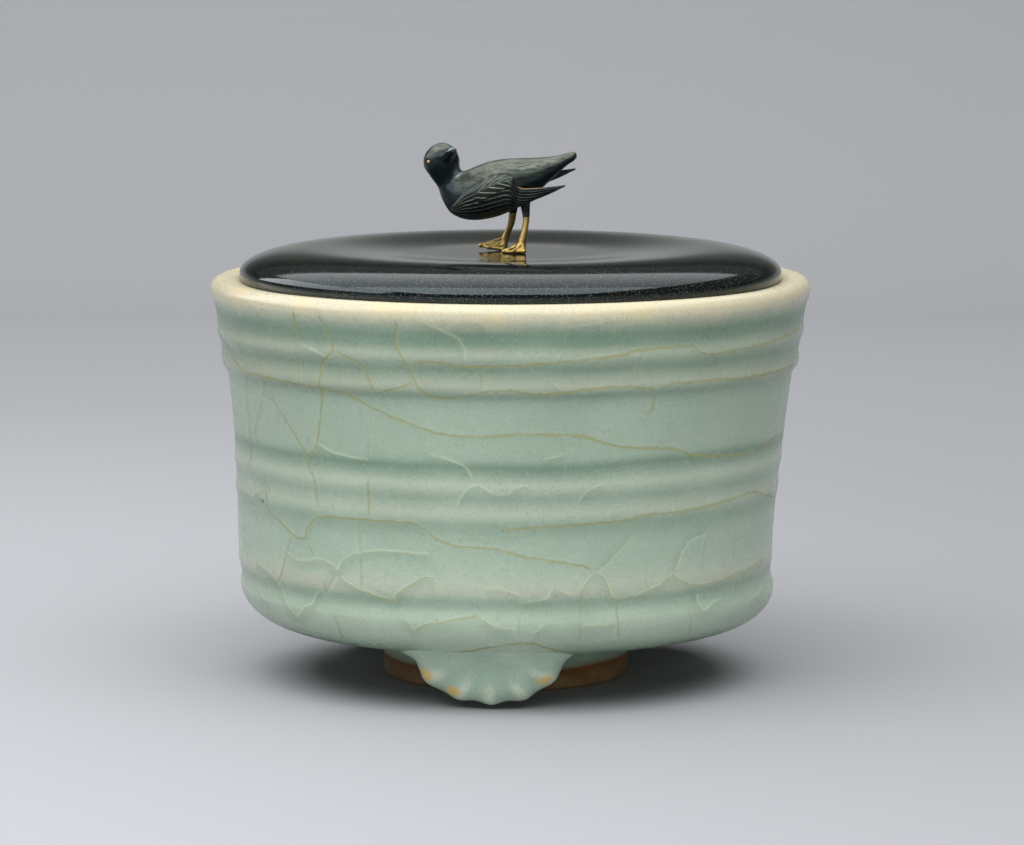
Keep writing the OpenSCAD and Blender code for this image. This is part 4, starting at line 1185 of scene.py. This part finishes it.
def wingMesh(side):
    w = wing
    u, v = np.meshgrid(np.linspace(0, 1, w["cols"]), np.linspace(0, 1, w["rows"]), indexing="ij")
    s = curve(w["stations"], u * (len(w["stations"]) - 1))
    x = s[..., 0] + (s[..., 2] - s[..., 0]) * v
    z = s[..., 1] + (s[..., 3] - s[..., 1]) * v
    blade = w["bladeTip"] * ease((u - w["bladeFrom"]) / (w["bladeTo"] - w["bladeFrom"]))
    y = np.maximum(flankY(x, z) + w["gap"], blade)
    rise = np.sqrt(np.maximum(0, np.sin(math.pi * v) * np.sin(np.minimum(math.pi / 2, np.radians(600) * u))))
    plain = w["edge"] + (w["thickness"] - w["edge"]) * rise
    chased, bright = feathering(u, v)
    out = plain * (1 - w["tipThinning"] * u) + chased
    outer = np.stack([x, -(y + out), z], -1).reshape(-1, 3)
    inner = np.stack([x, -y, z], -1).reshape(-1, 3)
    n, m = w["cols"], w["rows"]
    q = n * m
    quads = gridFaces(n, m)
    faces = [list(k) for k in quads] + [[a + q for a in k[::-1]] for k in quads]
    rim = [i * m for i in range(n)] + [(n - 1) * m + j for j in range(1, m)]
    rim += [i * m + m - 1 for i in range(n - 2, -1, -1)] + [j for j in range(m - 2, 0, -1)]
    faces += [[a, b, b + q, a + q] for a, b in zip(rim[1:] + rim[:1], rim)]
    points = np.concatenate([outer, inner])
    if side > 0:
        points[:, 1] *= -1
    none = np.zeros(q)
    blue = np.maximum(0.9 * ease((u - 0.5) / 0.2), 0.6 * ease((v - 0.3) / 0.4))  # the flight feathers are cooler, and the wing is darker towards its lower edge
    warm = w["warm"] * ease((w["warmDeep"] - v) / w["warmFade"])
    warm = warm * ease((u - w["warmFrom"]) / w["warmFade"]) * ease((w["warmTo"] - u) / w["warmFade"])
    layers = {"ridge": np.r_[0.7 * bright.ravel(), none], "warm": np.r_[warm.ravel(), none],
              "slate": np.r_[blue.ravel() * (1 - bright.ravel()), none]}
    return perched(rolled(points)), faces, layers


for name, side in (("left", -1), ("right", 1)):
    points, faces, layers = wingMesh(side)
    piece = newPiece("wing." + name, points, faces, bronze, layers)
    hand(piece, "cover", "bronze", "wing_" + name)
print("wings chased")


def legPiece(name, path, toes):
    b = bird
    base = np.array(path[-1][:3]) * (1, 1, 0)
    shells = [tube(legRings(path, 1, 4, 40, 32))]
    ankle = ball(base + (0, 0, b["ankleZ"]), b["ankleR"])
    webs = [ball(base + (0, 0, b["webH"] * 0.5), b["webH"] * 0.5)]
    for angle, length, height in toes:
        a = math.radians(180 + angle)
        ahead = np.array([math.cos(a), math.sin(a), 0.0])
        middle = base + ahead * length * b["knuckleShare"] + (0, 0, height + b["knuckleRise"])
        knuckle = ball(middle, b["toeR"] * b["knuckleSwell"])
        tip = ball(base + ahead * length + (0, 0, height), b["toeR"])
        shells += [wrapped([ankle, knuckle]), wrapped([knuckle, tip])]
        webs.append(ball(base + ahead * length * b["webShare"] + (0, 0, height - b["webSink"]), b["webR"]))
    shells.append(wrapped(webs))
    shells = [(perched(p), f) for p, f in shells]
    return fused(name, shells, gilt, b["legVoxel"], b["legSoftening"])


hand(legPiece("leg.left", bird["leftLeg"], bird["leftToes"]), "cover", "gilt", "leg_left")
hand(legPiece("leg.right", bird["rightLeg"], bird["rightToes"]), "cover", "gilt", "leg_right")


def eyePiece(name, side):
    b = bird
    profile = outline([
        line((0, -b["eyeDepth"]), (b["eyeR"] - 0.02, -b["eyeDepth"]), 4),
        line((b["eyeR"], -b["eyeDepth"] + 0.05), (b["eyeR"], 0), 6),
        arc((0, 0), (b["eyeR"], b["eyeR"]), 0, 90, 12)[1:],
    ])
    piece = turned(name, profile, gilt, b["eyeSides"])
    co = turn(corners(piece.data) / mm, "x", -90 * side) + b["eyeAt"][side]
    piece.data.vertices.foreach_set("co", perched(rolled(atHead(co))).ravel())
    piece.data.update()
    return piece


hand(eyePiece("eye.left", 1), "cover", "gilt", "eye_left")
hand(eyePiece("eye.right", -1), "cover", "gilt", "eye_right")
for name in ("washer_left", "washer_right"):
    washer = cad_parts[name]
    washer.data.materials.clear()
    washer.data.materials.append(gilt)
print("legs, eyes and washers done")


# floor, backdrop and light

stage = {
    "floorFront": -4.0, "floorSteps": (-0.8, -0.3, 0.2), "backY": 1.0, "bend": 0.25, "bendSteps": 24,
    "height": 0.5, "width": 9.0,
    "seenZ": 0.121,  # the paper above this only lights the object and shows in the lacquer
    # metres along the floor and up the back, and the grey of the paper there
    "greys": [(-1.6, 180), (-0.3, 180), (0.0, 173), (0.2, 175), (0.45, 173), (0.75, 174), (1.05, 175), (1.4, 174),
              (1.55, 168), (1.8, 110), (2.2, 64)],
    "seenTint": (0, 0, 3), "topTint": (-2, 0, -5),  # added to the greys
    "lean": 0.1, "leanX": 0.16,  # painted light and shadow on the paper: this much lighter on the left and darker on the right
}


def sweepPath():
    s = stage
    bend, floorEnd = s["bend"], s["backY"] - s["bend"]
    path = [(y, 0.0) for y in (s["floorFront"], *s["floorSteps"], floorEnd)]
    path += [tuple(p) for p in arc((floorEnd, bend), (bend, bend), -90, 0, s["bendSteps"])[1:]]
    return path + [(s["backY"], s["height"])]


def sweepPiece(name, path, paper):
    half = stage["width"] / 2
    points = [(x, y, z) for y, z in path for x in (-half, half)]
    mesh = bpy.data.meshes.new(name)
    mesh.from_pydata(points, [], [(2 * i, 2 * i + 1, 2 * i + 3, 2 * i + 2) for i in range(len(path) - 1)])
    mesh.shade_smooth()
    mesh.materials.append(paper)
    piece = bpy.data.objects.new(name, mesh)
    scene.collection.objects.link(piece)
    return piece


def sweepFinish(name, tint):
    material, here = newFinish(name)
    x, y, z = here.split()
    first, last = stage["greys"][0][0], stage["greys"][-1][0]
    stops = [((at - first) / (last - first), paint(*(grey + t for t in tint))) for at, grey in stage["greys"]]
    colour = ((y + z * 3.0 - first) / (last - first)).ramp(stops)
    fibre = grain(here, 900, 3)
    colour = (fibre * 0.5).between(0.05, 0.4).blend(colour, paint(214, 214, 218))
    # painted light on the left of the floor and painted shadow on its right, fading out towards the back
    lean = (0.5 - x.between(-stage["leanX"], stage["leanX"])) * (1 - y.between(0.15, 0.6)) * (2 * stage["lean"]) + 1
    colour = here.node("ShaderNodeVectorMath", {"operation": "SCALE"}, {0: colour, "Scale": lean})
    rough = 0.9 + fibre * 0.1
    return dress(material, {"Base Color": colour, "Roughness": rough, "Specular IOR Level": 0.0})


run = sweepPath()
seen = sum(z < stage["seenZ"] for y, z in run)
sweepPiece("paperFloor", run[:seen], sweepFinish("paperFloor", stage["seenTint"]))
sweepPiece("paperTop", run[seen - 1:], sweepFinish("paperTop", stage["topTint"])).visible_camera = False


def lamp(name, at, aim, size, glow, tint=(1, 1, 1)):  # glow is how bright its face is
    data = bpy.data.lights.new(name, "AREA")
    data.shape = "RECTANGLE"
    data.size, data.size_y = size
    data.energy = glow * math.pi * size[0] * size[1]
    data.color = tint
    light = bpy.data.objects.new(name, data)
    light.location = at
    gaze = np.array(aim) - np.array(at)
    gaze = gaze / np.linalg.norm(gaze)
    light.rotation_euler = (math.acos(-gaze[2]), 0, math.atan2(gaze[1], gaze[0]) - math.pi / 2)
    light.visible_camera = False
    scene.collection.objects.link(light)
    return light


banks = {
    "height": 1.0, "front": -1.38, "middle": 0.0, "rear": 1.3,
    "edges": [-1.0, -0.55, -0.1, 0.35, 0.8],  # metres from left to right, and how bright each part is
    "shares": [1.08, 1.0, 0.9, 0.88],
    "frontGlow": 3.15, "rearGlow": 1.4, "tint": (0.98, 1.0, 1.02),
    "cardAt": (-1.1, 0.1, 0.68), "cardSize": (1.8, 0.75), "cardGlow": 3.2,  # shows in the lacquer on the left
    "fillAt": (0, -1.6, 0.17), "fillSize": (3.2, 0.3), "fillGlow": 2.6,  # lifts the feet
    "world": (0.09, 0.092, 0.094, 1),
}
for name, ends, glow in (("front", (banks["front"], banks["middle"]), banks["frontGlow"]),
                         ("rear", (banks["middle"], banks["rear"]), banks["rearGlow"])):
    for number, share in enumerate(banks["shares"]):
        left, right = banks["edges"][number:number + 2]
        x, y = (left + right) / 2, sum(ends) / 2
        lamp("%sBank%d" % (name, number), (x, y, banks["height"]), (x, y + 0.01, 0), (right - left, ends[1] - ends[0]),
             glow * share, banks["tint"])
card = lamp("leftCard", banks["cardAt"], (0, banks["cardAt"][1], banks["cardAt"][2]), banks["cardSize"],
            banks["cardGlow"], banks["tint"])
card.visible_diffuse = False
fill = lamp("frontFill", banks["fillAt"], (0, 0, 0.05), banks["fillSize"], banks["fillGlow"])
fill.visible_glossy = False

world = bpy.data.worlds.new("studio")
scene.world = world
world.use_nodes = True
world.node_tree.nodes["Background"].inputs[0].default_value = banks["world"]
world.node_tree.nodes["Background"].inputs[1].default_value = 1.0

bpy.context.view_layer.update()
